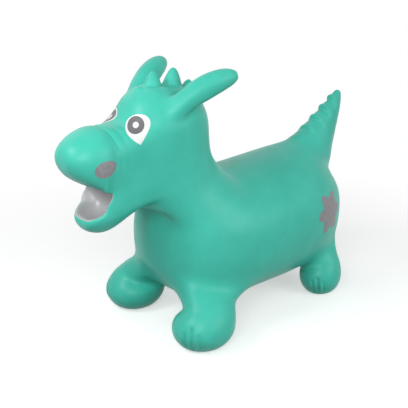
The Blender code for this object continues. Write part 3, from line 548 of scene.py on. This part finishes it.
def horn_rings(mesh):
    line = (HORN_TIP - HORN_ROOT).normalized()
    arch = (Vector((0, 0, 1)) - line * line.z).normalized()
    span = HORN_TIP - HORN_ROOT
    centres = [HORN_ROOT + span * along + arch * bow * HORN_ARCH for along, bow, _ in HORN_RING_SHARES]
    last = len(centres) - 1
    front = Vector((0, -1, 0))
    rings = []
    for step, centre in enumerate(centres):
        heading = centres[min(step + 1, last)] - centres[max(step - 1, 0)]
        heading = (heading if step else Vector(HORN_LEAN_SHARES)).normalized()
        front = (front - heading * front.dot(heading)).normalized()
        down = heading.cross(front)
        radius = HORN_RING_SHARES[step][2] * HORN_RADIUS
        ring = []
        for side in range(HORN_SIDES):
            turn = pi / 4 + 2 * pi * side / HORN_SIDES
            ring.append(mesh.verts.new(centre + (front * cos(turn) + down * sin(turn)) * radius))
        rings.append(ring)
    return rings


def horn_collar(mesh, rim, root):
    """A ring round the foot of the horn that leaves a soft crease where the horn meets the head."""
    outward = Vector(HORN_LEAN_SHARES).normalized()
    ring = []
    for near, far in zip(rim, root):
        place = near.co.lerp(far.co, HORN_COLLAR_SHARE) - outward * HORN_COLLAR_SINK
        ring.append(mesh.verts.new(place))
    return ring


def tail_edges(up_front, up_back, bulge):
    front = TAIL_FRONT.lerp(TAIL_TIP, up_front)
    back = TAIL_BACK.lerp(TAIL_TIP, up_back) + Vector((0, bulge * TAIL_BACK_BULGE, 0))
    return front, back


def tail_ring(mesh, up_front, up_back, bulge, width):
    front, back = tail_edges(up_front, up_back, bulge)
    last = TAIL_SIDE_POINTS - 1
    ring = []
    for step in range(TAIL_SIDE_POINTS):
        place = (front + back) / 2 + (front - back) / 2 * cos(pi * step / last)
        place.x = width * TAIL_HALF_WIDTH * midline_sine(step, last)
        ring.append(mesh.verts.new(place))
    return ring


def leg_rings(mesh, foot, foot_size, leg_size, set_back, end, sides):
    """Rings from the top of a leg to its sole. The second point of each ring is its foremost.

    The end is -1 for a front leg and 1 for a rear one, whose tops rise forward and rearward.
    """
    rings = []
    for blend, across, along, height, lift in LEG_RING_SHARES:
        half_width = (leg_size[0] + (foot_size[0] - leg_size[0]) * blend) * across
        half_length = (leg_size[1] + (foot_size[1] - leg_size[1]) * blend) * along
        ring = []
        for side in range(sides):
            turn = -pi / 2 + 2 * pi * (1 - side) / sides
            place = (
                foot[0] - (1 - blend) * LEG_TUCK + half_width * cos(turn),
                foot[1] + (1 - blend) * set_back + half_length * sin(turn),
                height * LEG_HEIGHT + lift * (LEG_LIFT * cos(turn) + end * LEG_END_LIFT * sin(turn)),
            )
            ring.append(mesh.verts.new(place))
        rings.append(ring)
    return rings


def crease_chain(mesh, chain, sharpness):
    """Keeps the smoothed surface close to a chain of points."""
    layer = mesh.edges.layers.float["crease_edge"]
    for start, end in zip(chain, chain[1:]):
        mesh.edges.get((start, end))[layer] = sharpness


def join_rings(mesh, rings, zones, closed=False):
    """Quads between neighbouring rings. The last zone serves every band that is left."""
    bands = []
    for index in range(len(rings) - 1):
        near, far = rings[index], rings[index + 1]
        sides = len(near) if closed else len(near) - 1
        band = []
        for side in range(sides):
            after = (side + 1) % len(near)
            face = mesh.faces.new((near[side], near[after], far[after], far[side]))
            face.material_index = zones[min(index, len(zones) - 1)]
            band.append(face)
        bands.append(band)
    return bands


def add_quads(mesh, ring, corners, zone):
    for corner in corners:
        mesh.faces.new([ring[index] for index in corner]).material_index = zone


def close_half_ring(mesh, ring, zone, bulge=Vector()):
    """Closes a half ring with strips that run across the mirror plane."""
    last = len(ring) - 1
    middle = [ring[0]]
    for step in range(1, last):
        place = ring[step].co + bulge * midline_sine(step, last)
        place.x = 0
        middle.append(mesh.verts.new(place))
    middle.append(ring[last])
    for step in range(last):
        corners = dict.fromkeys((ring[step], ring[step + 1], middle[step + 1], middle[step]))
        mesh.faces.new(list(corners)).material_index = zone


def block_rim(rings, first, last, near, far):
    """The points round a block of the cage. A block on the mirror plane has none on that side."""
    step = 1 if first < last else -1
    rim = [rings[first][column] for column in range(near, far)]
    rim += [rings[row][far] for row in range(first, last, step)]
    rim += [rings[last][column] for column in range(far, near, -1)]
    back = range(last, first, -step) if near else (last,)
    return rim + [rings[row][near] for row in back]


def open_block(mesh, rings, bands, first, last, near, far):
    """Removes a block of faces from the cage and gives back the points round it."""
    rows = range(min(first, last), max(first, last))
    block = [bands[row][column] for row in rows for column in range(near, far)]
    bmesh.ops.delete(mesh, geom=block, context="FACES")
    return block_rim(rings, first, last, near, far)


def close_tube_end(mesh, ring, zone):
    """Closes a tube with strips of quads from side to side."""
    sides = len(ring)
    corners = [(0, 1, 2, 3)]
    corners += [(sides - step, (1 - step) % sides, 2 + step, 3 + step) for step in range(1, sides // 2 - 1)]
    add_quads(mesh, ring, corners, zone)


def cage_muzzle(mesh, rim):
    """Snout, mouth and jaw, set into the opening in the front of the head."""
    line = muzzle_points(mesh, MUZZLE_SHARES)
    join_rings(mesh, [rim, line], [HEAD])
    above, below = line[: len(line) // 2], line[len(line) // 2 :]
    corner = below[0]
    palate = muzzle_points(mesh, PALATE_SHARES)
    tongue = muzzle_points(mesh, TONGUE_SHARES)
    add_quads(mesh, [*palate, *tongue, above[-1], corner], THROAT_QUADS, MOUTH)

    root = [*above, *palate]
    first = muzzle_points(mesh, SNOUT_RING_SHARES[0])
    rings = [root]
    rings += [wrinkle_ring(mesh, root, first, *wrinkle) for wrinkle in WRINKLE_SHARES]
    rings.append(first)
    rings += [muzzle_points(mesh, shares) for shares in SNOUT_RING_SHARES[1:]]
    bands = join_rings(mesh, rings, [HEAD])
    for band in bands[:PALATE_BANDS]:
        band[len(above)].material_index = MOUTH
    add_quads(mesh, rings[-1], MUZZLE_END_QUADS, HEAD)
    lip = [ring[len(above) - 1] for ring in rings[: PALATE_BANDS + 1]]
    crease_chain(mesh, [corner, *lip], LIP_CREASE)

    rings = [[*tongue, *below]]
    rings += [muzzle_points(mesh, shares) for shares in JAW_RING_SHARES]
    bands = join_rings(mesh, rings, [HEAD])
    for band in bands:
        for face in band[: len(tongue)]:
            face.material_index = MOUTH
    add_quads(mesh, rings[-1], MUZZLE_END_QUADS, HEAD)
    crease_chain(mesh, [corner, rings[1][len(tongue)]], LIP_CREASE)


def cage_horn(mesh, rim):
    rings = horn_rings(mesh)
    rings.insert(0, horn_collar(mesh, rim, rings[0]))
    join_rings(mesh, [rim, *rings], [HEAD, HEAD, *[HORN_BAND] * HORN_BAND_ROWS, HORN], closed=True)
    close_tube_end(mesh, rings[-1], HORN)


def cage_head(mesh, rim):
    """The neck and the head, whose own openings lead into the muzzle and the horn."""
    rings = [rim, *[head_ring(mesh, *share) for share in HEAD_RING_SHARES]]
    bands = join_rings(mesh, rings, [HEAD])
    close_half_ring(mesh, rings[-1], HEAD)
    cage_muzzle(mesh, open_block(mesh, rings, bands, *MUZZLE_OPENING))
    cage_horn(mesh, open_block(mesh, rings, bands, *HORN_OPENING))


def cage_tail(mesh, rim):
    rings = [tail_ring(mesh, *share) for share in TAIL_RING_SHARES]
    join_rings(mesh, [rim, *rings], [BODY, TAIL_BAND, TAIL_BAND, TAIL])
    close_half_ring(mesh, rings[-1], TAIL, Vector((0, 0, TAIL_END_BULGE)))


def cage_legs(mesh, body, bands):
    legs = [(opening, leg_rings(mesh, *leg)) for opening, *leg in LEGS]
    for opening, rings in legs:
        rim = open_block(mesh, body, bands, *opening)
        join_rings(mesh, [rim, *rings], [BODY, LEG, LEG, LEG, LEG, FOOT], closed=True)
        close_tube_end(mesh, rings[-1], FOOT)


def skin_cage():
    """The +X half of the skin: a barrel whose openings lead into the neck, the legs and the tail."""
    mesh = bmesh.new()
    mesh.edges.layers.float.new("crease_edge")
    body = [body_ring(mesh, *share) for share in BODY_RING_SHARES]
    bands = join_rings(mesh, body, [BODY])
    close_half_ring(mesh, body[0], BODY, Vector((0, -BODY_END_BULGE, 0)))
    close_half_ring(mesh, body[-1], BODY, Vector((0, BODY_END_BULGE, 0)))
    cage_head(mesh, open_block(mesh, body, bands, *NECK_OPENING))
    cage_tail(mesh, open_block(mesh, body, bands, *TAIL_OPENING))
    cage_legs(mesh, body, bands)

    loose = [vertex for vertex in mesh.verts if not vertex.link_faces]
    bmesh.ops.delete(mesh, geom=loose, context="VERTS")
    bmesh.ops.recalc_face_normals(mesh, faces=mesh.faces)
    return mesh


def frame_at(facing, side):
    """Unit vectors of a painted place: outward, towards the rear of the toy, and up."""
    outward = Vector((facing[0] * side, facing[1], facing[2])).normalized()
    right = Vector((0, 0, 1)).cross(outward).normalized()
    return outward, right * side, outward.cross(right)


def eye_outline(turn):
    """A drop with its point down and a little to the rear."""
    wide = sin(turn) * sin(turn / 2) / EYE_POINT_SHARE
    lean = EYE_LEAN_SHARES[0 if cos(turn) > 0 else 1] * cos(turn) ** 2
    return EYE_HALF_WIDTH * (wide + lean), -EYE_HALF_HEIGHT * cos(turn)


def nostril_outline(turn):
    return NOSTRIL_HALF_WIDTH * cos(turn), NOSTRIL_HALF_HEIGHT * sin(turn)


def mark_outline(turn):
    radius = MARK_RADIUS - MARK_PETAL_DEPTH * (1 - cos(MARK_PETALS * turn)) / 2
    return radius * cos(turn), radius * sin(turn)


def ring_outline(turn):
    return RING_RADIUS * cos(turn), RING_RADIUS * sin(turn)


def smooth_skin(levels):
    """The whole outer surface as one mesh, mirrored and smoothed."""
    cage = skin_cage()
    mesh = bpy.data.meshes.new("skin")
    cage.to_mesh(mesh)
    cage.free()
    guide = bpy.data.objects.new("skin", mesh)
    bpy.context.scene.collection.objects.link(guide)
    mirror = guide.modifiers.new("Mirror", "MIRROR")
    mirror.use_clip = True
    mirror.merge_threshold = MIRROR_MERGE
    smooth = guide.modifiers.new("Smooth", "SUBSURF")
    smooth.levels = smooth.render_levels = levels
    graph = bpy.context.evaluated_depsgraph_get()
    skin = bpy.data.meshes.new_from_object(guide.evaluated_get(graph))
    bpy.data.objects.remove(guide)
    return skin


# Fine detail, as offsets along the surface. The places are numpy arrays with a row for each point.


def smooth_step(value):
    value = np.clip(value, 0, 1)
    return value * value * (3 - 2 * value)


def bump(distance, width):
    """One at zero distance, falling smoothly to nothing."""
    return np.exp(-((distance / width) ** 2))


def toe_offsets(places):
    """Soft creases and pads on the front of each foot."""
    push = np.zeros(len(places))
    height = places[:, 2]
    feet = (
        (FRONT_FOOT, FRONT_FOOT_HALF_LENGTH, FRONT_TOE_CREASES, FRONT_TOE_PADS),
        (REAR_FOOT, REAR_FOOT_HALF_LENGTH, REAR_TOE_CREASES, REAR_TOE_PADS),
    )
    for foot, half_length, creases, pads in feet:
        across = np.abs(places[:, 0]) - foot[0]
        ahead = foot[1] - places[:, 1]
        reach = np.hypot(across, ahead)
        turn = np.degrees(np.arctan2(across, ahead))
        near = (reach < half_length * TOE_REACH_SHARE) & (height < LEG_HEIGHT)
        near = near * smooth_step(reach / (half_length * TOE_FULL_SHARE))
        for place, top, bottom, depth in creases:
            along = np.radians(turn - place) * reach + (height - bottom) * CREASE_SLANT
            fade = smooth_step((top - height) / CREASE_FADE)
            fade *= smooth_step((height - bottom) / CREASE_FADE + 1)
            push -= near * bump(along, CREASE_WIDTH) * fade * depth
        for place, middle, rise in pads:
            along = np.radians(turn - place) * reach
            push += near * bump(along, PAD_WIDTH) * bump(height - middle, PAD_HEIGHT) * rise
    return push


def wrinkle_offsets(places):
    """Fine folds round the root of the snout."""
    push = np.zeros(len(places))
    axis_z = muzzle_place(0, 0, SNOUT_AXIS_SHARE).z
    above = smooth_step((places[:, 2] - MOUTH_Z) / WRINKLE_FADE)
    for back, lean, depth, width in SNOUT_WRINKLES:
        line = MUZZLE_Y + back + lean * np.clip(places[:, 2] - axis_z, 0, None)
        push -= bump(places[:, 1] - line, width) * depth * above
    return push


def scale_offsets(places):
    """Stepped scales down the front edge of the tail, each with a faint rib that runs along the side."""
    front, tip, back = (np.array(corner) for corner in (TAIL_FRONT, TAIL_TIP, TAIL_BACK))
    length = np.linalg.norm(tip - front)
    up = (tip - front) / length
    inward = (back - front) - up * ((back - front) @ up)
    inward /= np.linalg.norm(inward)
    along = (places - front) @ up
    deep = np.clip((places - front) @ inward, 0, None)
    push = np.zeros(len(places))
    for share, rise in zip(SCALE_PLACE_SHARES, SCALE_RISES):
        away = along - share * length + deep * SCALE_SLANT
        step = bump(np.clip(away, 0, None), SCALE_UPPER) * bump(np.clip(-away, 0, None), SCALE_LOWER)
        notch = bump(away + SCALE_LOWER * NOTCH_DROP_SHARE, SCALE_LOWER * NOTCH_WIDTH_SHARE)
        push += (step - notch * NOTCH_DEPTH_SHARE) * bump(deep, SCALE_DEPTH) * rise
        groove = bump(away + RIB_WIDTH * GROOVE_DROP_SHARE, RIB_WIDTH * GROOVE_WIDTH_SHARE)
        push += (bump(away, RIB_WIDTH) - groove) * bump(deep, RIB_REACH) * RIB_RISE
    return push


def spike_lifts(places):
    """How far the crown rises into soft spikes along the midline."""
    lift = np.zeros(len(places))
    for place, height, radius in SPIKE_SHARES:
        middle_y = HEAD_SET_BACK + place * HEAD_HALF_LENGTH
        away = np.hypot(places[:, 0], places[:, 1] - middle_y) / (radius * SPIKE_RADIUS)
        dome = 1 - away**2
        soft = (dome + np.sqrt(dome**2 + SPIKE_FILLET_SHARE)) / 2 - SPIKE_SINK_SHARE
        lift = np.maximum(lift, np.clip(soft, 0, None) * height * SPIKE_HEIGHT)
    return lift


def relaxed(places, faces):
    """The surface with the ripples smoothed out round the roots of the legs and horns."""
    weight = np.zeros(len(places))
    folded = np.abs(places) * (1, 0, 0) + places * (0, 1, 1)
    for centre, radius in RELAXED_ROUND:
        away = np.linalg.norm(folded - np.array(centre), axis=1)
        weight = np.maximum(weight, smooth_step(2 - 2 * away / radius) * RELAX_SHARE)
    near, far = np.stack([faces, np.roll(faces, -1, axis=1)], axis=2).reshape(-1, 2).T
    number = np.bincount(near)
    for _ in range(RELAX_TIMES):
        total = np.stack([np.bincount(near, places[far, axis]) for axis in range(3)], axis=1)
        places = places + weight[:, None] * (total / number[:, None] - places)
    return places


def rows_of(items, name):
    """A vector that each item of a mesh has, as the rows of an array."""
    values = np.empty(len(items) * 3)
    items.foreach_get(name, values)
    return values.reshape(-1, 3)


def fine_skin():
    """The whole skin at full detail: places, normals, faces and the zone of each face."""
    mesh = smooth_skin(FINE_LEVELS)
    places = rows_of(mesh.vertices, "co")
    normals = rows_of(mesh.vertex_normals, "vector")
    faces = np.array([tuple(face.vertices) for face in mesh.polygons])
    zones = np.array([face.material_index for face in mesh.polygons])

    member = {}
    for name, chosen in (("leg", (LEG, FOOT)), ("head", (HEAD,)), ("tail", (TAIL, TAIL_BAND, BODY))):
        member[name] = np.zeros(len(places), bool)
        member[name][faces[np.isin(zones, chosen)].ravel()] = True
    places = relaxed(places, faces)
    push = toe_offsets(places) * member["leg"]
    push += wrinkle_offsets(places) * member["head"]
    push += scale_offsets(places) * member["tail"]
    crown = member["head"] & (normals[:, 2] > CROWN_FACING_UP) & (places[:, 2] > CROWN_Z - CROWN_DEPTH)
    lift = spike_lifts(places) * crown
    places += normals * push[:, None]
    places[:, 1] += lift * SPIKE_LEAN_SHARE
    places[:, 2] = np.maximum(places[:, 2] + lift, 0)
    places += np.array(SHIFT)

    mesh.vertices.foreach_set("co", places.ravel())
    mesh.update()
    normals = rows_of(mesh.vertex_normals, "vector")
    bpy.data.meshes.remove(mesh)
    return places, normals, faces, zones


# Pieces


def new_piece(name, places, faces, look, normals=None):
    mesh = bpy.data.meshes.new(name)
    mesh.from_pydata([tuple(place) for place in places], [], [tuple(face) for face in faces])
    mesh.shade_smooth()
    if normals is None:
        mesh.set_sharp_from_angle(angle=radians(FILM_EDGE_ANGLE))
    else:
        mesh.normals_split_custom_set_from_vertices([tuple(normal) for normal in normals])
    mesh.materials.append(looks[look])
    piece = bpy.data.objects.new(name, mesh)
    bpy.context.scene.collection.objects.link(piece)
    return piece


def cut_out(name, skin, chosen, look):
    """One stretch of the skin as its own piece. It keeps the whole skin's normals, so no seam shows."""
    places, normals, faces, _ = skin
    used, order = np.unique(faces[chosen], return_inverse=True)
    shown = order.reshape(-1, faces.shape[1])
    return new_piece(name, places[used], shown.tolist(), look, normals[used])


def rim_places(skin, chosen):
    """The points along the open edge of some of the skin's faces."""
    places, _, faces, _ = skin
    corners = faces[chosen]
    edges = np.stack([corners, np.roll(corners, 1, axis=1)], axis=2).reshape(-1, 2)
    edges, times = np.unique(np.sort(edges, axis=1), axis=0, return_counts=True)
    return places[np.unique(edges[times == 1])]


def zone_faces(skin, zones, side=0, rear=None):
    """Which faces are in some zones, if asked on one side only, or of the front or the rear legs only."""
    places, _, faces, face_zones = skin
    centres = places[faces].mean(axis=1)
    chosen = np.isin(face_zones, zones) & (centres[:, 0] * side >= 0)
    if rear is not None:
        chosen &= (centres[:, 1] > SHIFT.y + VALVE_Y) == rear
    return np.flatnonzero(chosen)


def add_torso(skin):
    """The torso and the head, which are stiff, in one piece."""
    torso = cut_out("skin", skin, zone_faces(skin, (BODY, HEAD)), "teal_vinyl")
    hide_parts("torso_skin", "head_skin")
    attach(torso, "torso")


def add_limbs(skin):
    """The legs, which flatten evenly from the sole up to where they meet the body."""
    for end, rear in ENDS:
        for name, side in SIDES:
            chosen = zone_faces(skin, (LEG, FOOT), side, rear)
            limb = cut_out(f"{end}_{name}_limb", skin, chosen, "teal_vinyl")
            rim = rim_places(skin, chosen)[:, 2].min()
            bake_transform(limb, "feet", "torso", start=Vector(), end=Vector((0, 0, rim)))
            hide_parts(f"{end}_{name}_leg", f"{end}_{name}_foot")


def add_horns(skin):
    """The horns, which bend away from the head along the way they lean."""
    for name, side in SIDES:
        chosen = zone_faces(skin, (HORN_BAND, HORN), side)
        horn = cut_out(f"{name}_grip", skin, chosen, "teal_vinyl")
        lean = Vector(HORN_LEAN_SHARES)
        lean.x *= side
        lean.normalize()
        start = (rim_places(skin, chosen) @ np.array(lean)).max()
        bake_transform(horn, "torso", f"{name}_horn", start=lean * start, end=lean * (start + HORN_BEND))
        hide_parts(f"{name}_horn", f"{name}_horn_band")


def add_tail(skin):
    """The tail, which bends away from the back at a right angle to its root."""
    chosen = zone_faces(skin, (TAIL_BAND, TAIL))
    tail = cut_out("tail_fin", skin, chosen, "teal_vinyl")
    rise = Vector((1, 0, 0)).cross(TAIL_BACK - TAIL_FRONT).normalized()
    start = (rim_places(skin, chosen) @ np.array(rise)).max()
    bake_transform(tail, "torso", "tail", start=rise * start, end=rise * (start + TAIL_BEND))
    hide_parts("tail", "tail_band")


def film_grid(outline, side, hole_share):
    """Rings of flat points that fill an outline, from its middle or from its hole to its edge."""
    rings = []
    points = []
    for step in range(FILM_RINGS + 1):
        share = hole_share + (1 - hole_share) * step / FILM_RINGS
        ring = []
        for spoke in range(FILM_SPOKES if share else 1):
            across, above = outline(side * 2 * pi * spoke / FILM_SPOKES)
            ring.append(len(points))
            points.append((across * share, above * share))
        rings.append(ring)
    return rings, points


def film_faces(rings, count, hole_share):
    """The outside of a film, with walls from its edges down to a second layer of as many points."""
    faces = []
    for near, far in zip(rings, rings[1:]):
        for spoke in range(FILM_SPOKES):
            after = (spoke + 1) % FILM_SPOKES
            corners = (near[spoke % len(near)], far[spoke], far[after], near[after % len(near)])
            faces.append(tuple(dict.fromkeys(corners)))
    edges = [rings[-1], rings[0][::-1]] if hole_share else [rings[-1]]
    for edge in edges:
        for vertex, after in zip(edge, edge[1:] + edge[:1]):
            faces.append((vertex, vertex + count, after + count, after))
    return faces


def add_film(name, node, surface, seat, outline, look, layer, hole_share):
    """A film of paint that follows the skin, trimmed to an outline seen from straight ahead."""
    place, facing, side = seat
    outward, rearward, up = frame_at(facing, side)
    rings, points = film_grid(outline, side, hole_share)
    lifted, sunk = [], []
    for across, above in points:
        start = place + rearward * across + up * above + outward * FILM_CAST
        hit, normal, _, _ = surface.ray_cast(start, -outward)
        lifted.append(hit + normal * (FILM_LIFT * (layer + 1)))
        sunk.append(hit - normal * FILM_LIFT)
    film = new_piece(name, lifted + sunk, film_faces(rings, len(points), hole_share), look)
    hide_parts(node)
    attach(film, "torso")


def painted_places(side):
    """The middles of the eye, of the ring in it, of the nostril and of the rump mark on one side."""
    mirrored = Vector((side, 1, 1))
    across, ahead, up = EYE_PLACE_SHARES
    eye = (across * HEAD_HALF_WIDTH, HEAD_SET_BACK - ahead * HEAD_HALF_LENGTH, NECK_Z + up * HEAD_HEIGHT)
    eye = Vector(eye) * mirrored + SHIFT
    _, eye_rear, eye_up = frame_at(EYE_FACING_SHARES, side)
    rearward, upward = RING_PLACE_SHARES
    ring = eye + eye_rear * rearward * EYE_HALF_WIDTH + eye_up * upward * EYE_HALF_HEIGHT
    nostril = muzzle_place(*NOSTRIL_PLACE_SHARES) * mirrored + SHIFT
    across, along, up = MARK_PLACE_SHARES
    mark = (across * BODY_HALF_WIDTH, along * BODY_LENGTH, BODY_AXIS_Z + up * BODY_RISE)
    return eye, ring, nostril, Vector(mark) * mirrored + SHIFT


RING_HOLE_SHARE = RING_HOLE_RADIUS / RING_RADIUS
# The films of one side, in the order of their places: name, node, facing, outline, look, layer, hole share
FILMS = (
    ("eye_paint", "eye_white", EYE_FACING_SHARES, eye_outline, "white_paint", 0, 0),
    ("iris_paint", "eye_ring", EYE_FACING_SHARES, ring_outline, "ring_paint", 1, RING_HOLE_SHARE),
    ("nostril_paint", "nostril", NOSTRIL_FACING_SHARES, nostril_outline, "grey_paint", 0, 0),
    ("mark_paint", "rump_mark", MARK_FACING_SHARES, mark_outline, "grey_paint", 0, 0),
)


def add_paint(skin):
    """The lining of the mouth and, on each side, the films that lie on the skin."""
    places, _, faces, _ = skin
    surface = BVHTree.FromPolygons(places.tolist(), faces.tolist())
    lining = cut_out("mouth_paint", skin, zone_faces(skin, (MOUTH,)), "silver_paint")
    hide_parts("mouth_lining")
    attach(lining, "torso")
    for name, side in SIDES:
        for place, (film, node, facing, *form) in zip(painted_places(side), FILMS):
            add_film(f"{name}_{film}", f"{name}_{node}", surface, (place, facing, side), *form)


def finish_valve():
    """Uncoloured vinyl on the valve, which is shown as packed."""
    for node in ("valve_seat", "valve_plug"):
        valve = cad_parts[node]
        valve.data.materials.clear()
        valve.data.materials.append(looks["natural_vinyl"])


# Materials. The helpers give back the output socket of the node that they add.


def noise(tree, coordinates, scale, kind):
    detail, roughness = kind
    made = tree.nodes.new("ShaderNodeTexNoise")
    made.inputs["Scale"].default_value = scale
    made.inputs["Detail"].default_value = detail
    made.inputs["Roughness"].default_value = roughness
    tree.links.new(coordinates, made.inputs["Vector"])
    return made.outputs["Fac"]


def two_tones(tree, share, stops, tones):
    """A colour that runs from the dark tone to the light one between two stops."""
    made = tree.nodes.new("ShaderNodeValToRGB")
    for element, stop, tone in zip(made.color_ramp.elements, stops, tones):
        element.position = stop
        element.color = (*tone, 1)
    tree.links.new(share, made.inputs["Fac"])
    return made.outputs["Color"]


def spread(tree, value, start, end, low=0.0, high=1.0):
    """Maps one range of values onto another."""
    made = tree.nodes.new("ShaderNodeMapRange")
    for socket, limit in (("From Min", start), ("From Max", end), ("To Min", low), ("To Max", high)):
        made.inputs[socket].default_value = limit
    tree.links.new(value, made.inputs["Value"])
    return made.outputs["Result"]


def surface_material(name):
    """A painted or moulded surface with faint mottling, uneven gloss and a fine grain."""
    dark, light, roughness, mottle, grain, depth, metallic, coat, specular = SURFACES[name]
    made = bpy.data.materials.new(name)
    made.use_nodes = True
    made.diffuse_color = (*light, 1)
    tree = made.node_tree
    shader = tree.nodes["Principled BSDF"]
    shader.inputs["Metallic"].default_value = metallic
    shader.inputs["Specular IOR Level"].default_value = specular
    shader.inputs["Coat Weight"].default_value = coat
    shader.inputs["Coat Roughness"].default_value = COAT_ROUGHNESS
    coordinates = tree.nodes.new("ShaderNodeTexCoord").outputs["Object"]
    cloud = noise(tree, coordinates, mottle, MOTTLE_NOISE)
    tree.links.new(two_tones(tree, cloud, MOTTLE_STOPS, (dark, light)), shader.inputs["Base Color"])
    wear = noise(tree, coordinates, mottle * WEAR_SCALE_SHARE, WEAR_NOISE)
    gloss = spread(tree, wear, *WEAR_STOPS, roughness - WEAR_SMOOTHER, roughness + WEAR_ROUGHER)
    tree.links.new(gloss, shader.inputs["Roughness"])
    relief = tree.nodes.new("ShaderNodeBump")
    relief.inputs["Strength"].default_value = depth
    relief.inputs["Distance"].default_value = GRAIN_DEPTH
    tree.links.new(noise(tree, coordinates, grain, GRAIN_NOISE), relief.inputs["Height"])
    tree.links.new(relief.outputs["Normal"], shader.inputs["Normal"])
    return made


def white_beyond(tree, near, far):
    """A share that rises from none near the toy to all far from it."""
    place = tree.nodes.new("ShaderNodeNewGeometry")
    length = tree.nodes.new("ShaderNodeVectorMath")
    length.operation = "LENGTH"
    tree.links.new(place.outputs["Position"], length.inputs[0])
    share = spread(tree, length.outputs["Value"], near, far)
    share.node.interpolation_type = "SMOOTHSTEP"
    return share


def seen_directly(tree):
    """One for the rays that show a surface to the camera, in a mirror or through glass, else zero."""
    path = tree.nodes.new("ShaderNodeLightPath")
    shown = path.outputs["Is Camera Ray"]
    for kind in ("Is Glossy Ray", "Is Transmission Ray"):
        either = tree.nodes.new("ShaderNodeMath")
        either.operation = "MAXIMUM"
        tree.links.new(shown, either.inputs[0])
        tree.links.new(path.outputs[kind], either.inputs[1])
        shown = either.outputs["Value"]
    return shown


def product(tree, first, second):
    """Two values multiplied. The second is a socket or a plain number."""
    times = tree.nodes.new("ShaderNodeMath")
    times.operation = "MULTIPLY"
    tree.links.new(first, times.inputs[0])
    if isinstance(second, float):
        times.inputs[1].default_value = second
    else:
        tree.links.new(second, times.inputs[1])
    return times.outputs["Value"]


def floor_material():
    """Pale studio paper that takes the shadow near the toy and runs out to plain white."""
    made = bpy.data.materials.new("studio_paper")
    made.use_nodes = True
    tree = made.node_tree
    paper = tree.nodes["Principled BSDF"]
    paper.inputs["Roughness"].default_value = FLOOR_ROUGHNESS
    paper.inputs["Specular IOR Level"].default_value = FLOOR_SPECULAR
    coordinates = tree.nodes.new("ShaderNodeTexCoord").outputs["Object"]
    cloud = noise(tree, coordinates, FLOOR_MOTTLE, MOTTLE_NOISE)
    shown = seen_directly(tree)
    tone = tree.nodes.new("ShaderNodeMix")
    tone.data_type = "RGBA"
    tone.inputs["A"].default_value = FLOOR_BOUNCE
    tree.links.new(shown, tone.inputs["Factor"])
    tree.links.new(two_tones(tree, cloud, FLOOR_STOPS, FLOOR_TONES), tone.inputs["B"])
    tree.links.new(tone.outputs["Result"], paper.inputs["Base Color"])
    glow = tree.nodes.new("ShaderNodeEmission")
    tree.links.new(product(tree, shown, FLOOR_GLOW), glow.inputs["Strength"])
    near = tree.nodes.new("ShaderNodeAddShader")
    tree.links.new(paper.outputs["BSDF"], near.inputs[0])
    tree.links.new(glow.outputs["Emission"], near.inputs[1])
    beyond = tree.nodes.new("ShaderNodeEmission")
    mix = tree.nodes.new("ShaderNodeMixShader")
    share = white_beyond(tree, FLOOR_NEAR, FLOOR_FAR)
    tree.links.new(product(tree, shown, share), mix.inputs["Fac"])
    tree.links.new(near.outputs["Shader"], mix.inputs[1])
    tree.links.new(beyond.outputs["Emission"], mix.inputs[2])
    tree.links.new(mix.outputs["Shader"], tree.nodes["Material Output"].inputs["Surface"])
    return made


# Studio


def add_floor():
    corners = ((-1, -1), (1, -1), (1, 1), (-1, 1))
    mesh = bpy.data.meshes.new("studio_floor")
    mesh.from_pydata([(x * FLOOR_REACH, y * FLOOR_REACH, 0) for x, y in corners], [], [(0, 1, 2, 3)])
    mesh.materials.append(floor_material())
    floor = bpy.data.objects.new("studio_floor", mesh)
    bpy.context.scene.collection.objects.link(floor)


def add_lamp(name, target, turn, tilt, distance, size, power):
    """A square soft lamp at an azimuth and height, aimed at a place on the toy."""
    turn, tilt = radians(turn), radians(tilt)
    back = Vector((sin(turn) * cos(tilt), -cos(turn) * cos(tilt), sin(tilt)))
    lamp = bpy.data.lights.new(name, "AREA")
    lamp.shape = "SQUARE"
    lamp.size = size
    lamp.energy = power
    made = bpy.data.objects.new(name, lamp)
    made.location = Vector(target) + back * distance
    made.rotation_euler = back.to_track_quat("Z", "Y").to_euler()
    made.visible_camera = False
    bpy.context.scene.collection.objects.link(made)


def add_world():
    """Plain white behind the toy, and a soft level light from all round."""
    world = bpy.data.worlds.new("studio")
    bpy.context.scene.world = world
    world.use_nodes = True
    tree = world.node_tree
    tree.nodes.clear()
    mix = tree.nodes.new("ShaderNodeMixShader")
    tree.links.new(seen_directly(tree), mix.inputs["Fac"])
    for socket, strength in ((1, WORLD_STRENGTH), (2, BACKDROP_STRENGTH)):
        light = tree.nodes.new("ShaderNodeBackground")
        light.inputs["Color"].default_value = WHITE
        light.inputs["Strength"].default_value = strength
        tree.links.new(light.outputs["Background"], mix.inputs[socket])
    out = tree.nodes.new("ShaderNodeOutputWorld")
    tree.links.new(mix.outputs["Shader"], out.inputs["Surface"])


def add_camera():
    lens = bpy.data.cameras.new("camera")
    lens.lens = CAMERA_LENS
    lens.sensor_width = CAMERA_SENSOR
    camera = bpy.data.objects.new("camera", lens)
    camera.location = CAMERA_PLACE
    camera.rotation_euler = (radians(90 - CAMERA_TILT), 0, radians(CAMERA_TURN))
    bpy.context.scene.collection.objects.link(camera)
    bpy.context.scene.camera = camera
    bpy.context.scene.view_settings.view_transform = "Standard"


looks = {name: surface_material(name) for name in SURFACES}
skin = fine_skin()
for add_pieces in (add_torso, add_limbs, add_horns, add_tail, add_paint):
    add_pieces(skin)
finish_valve()
add_floor()
add_world()
for lamp in LAMPS:
    add_lamp(*lamp)
add_camera()
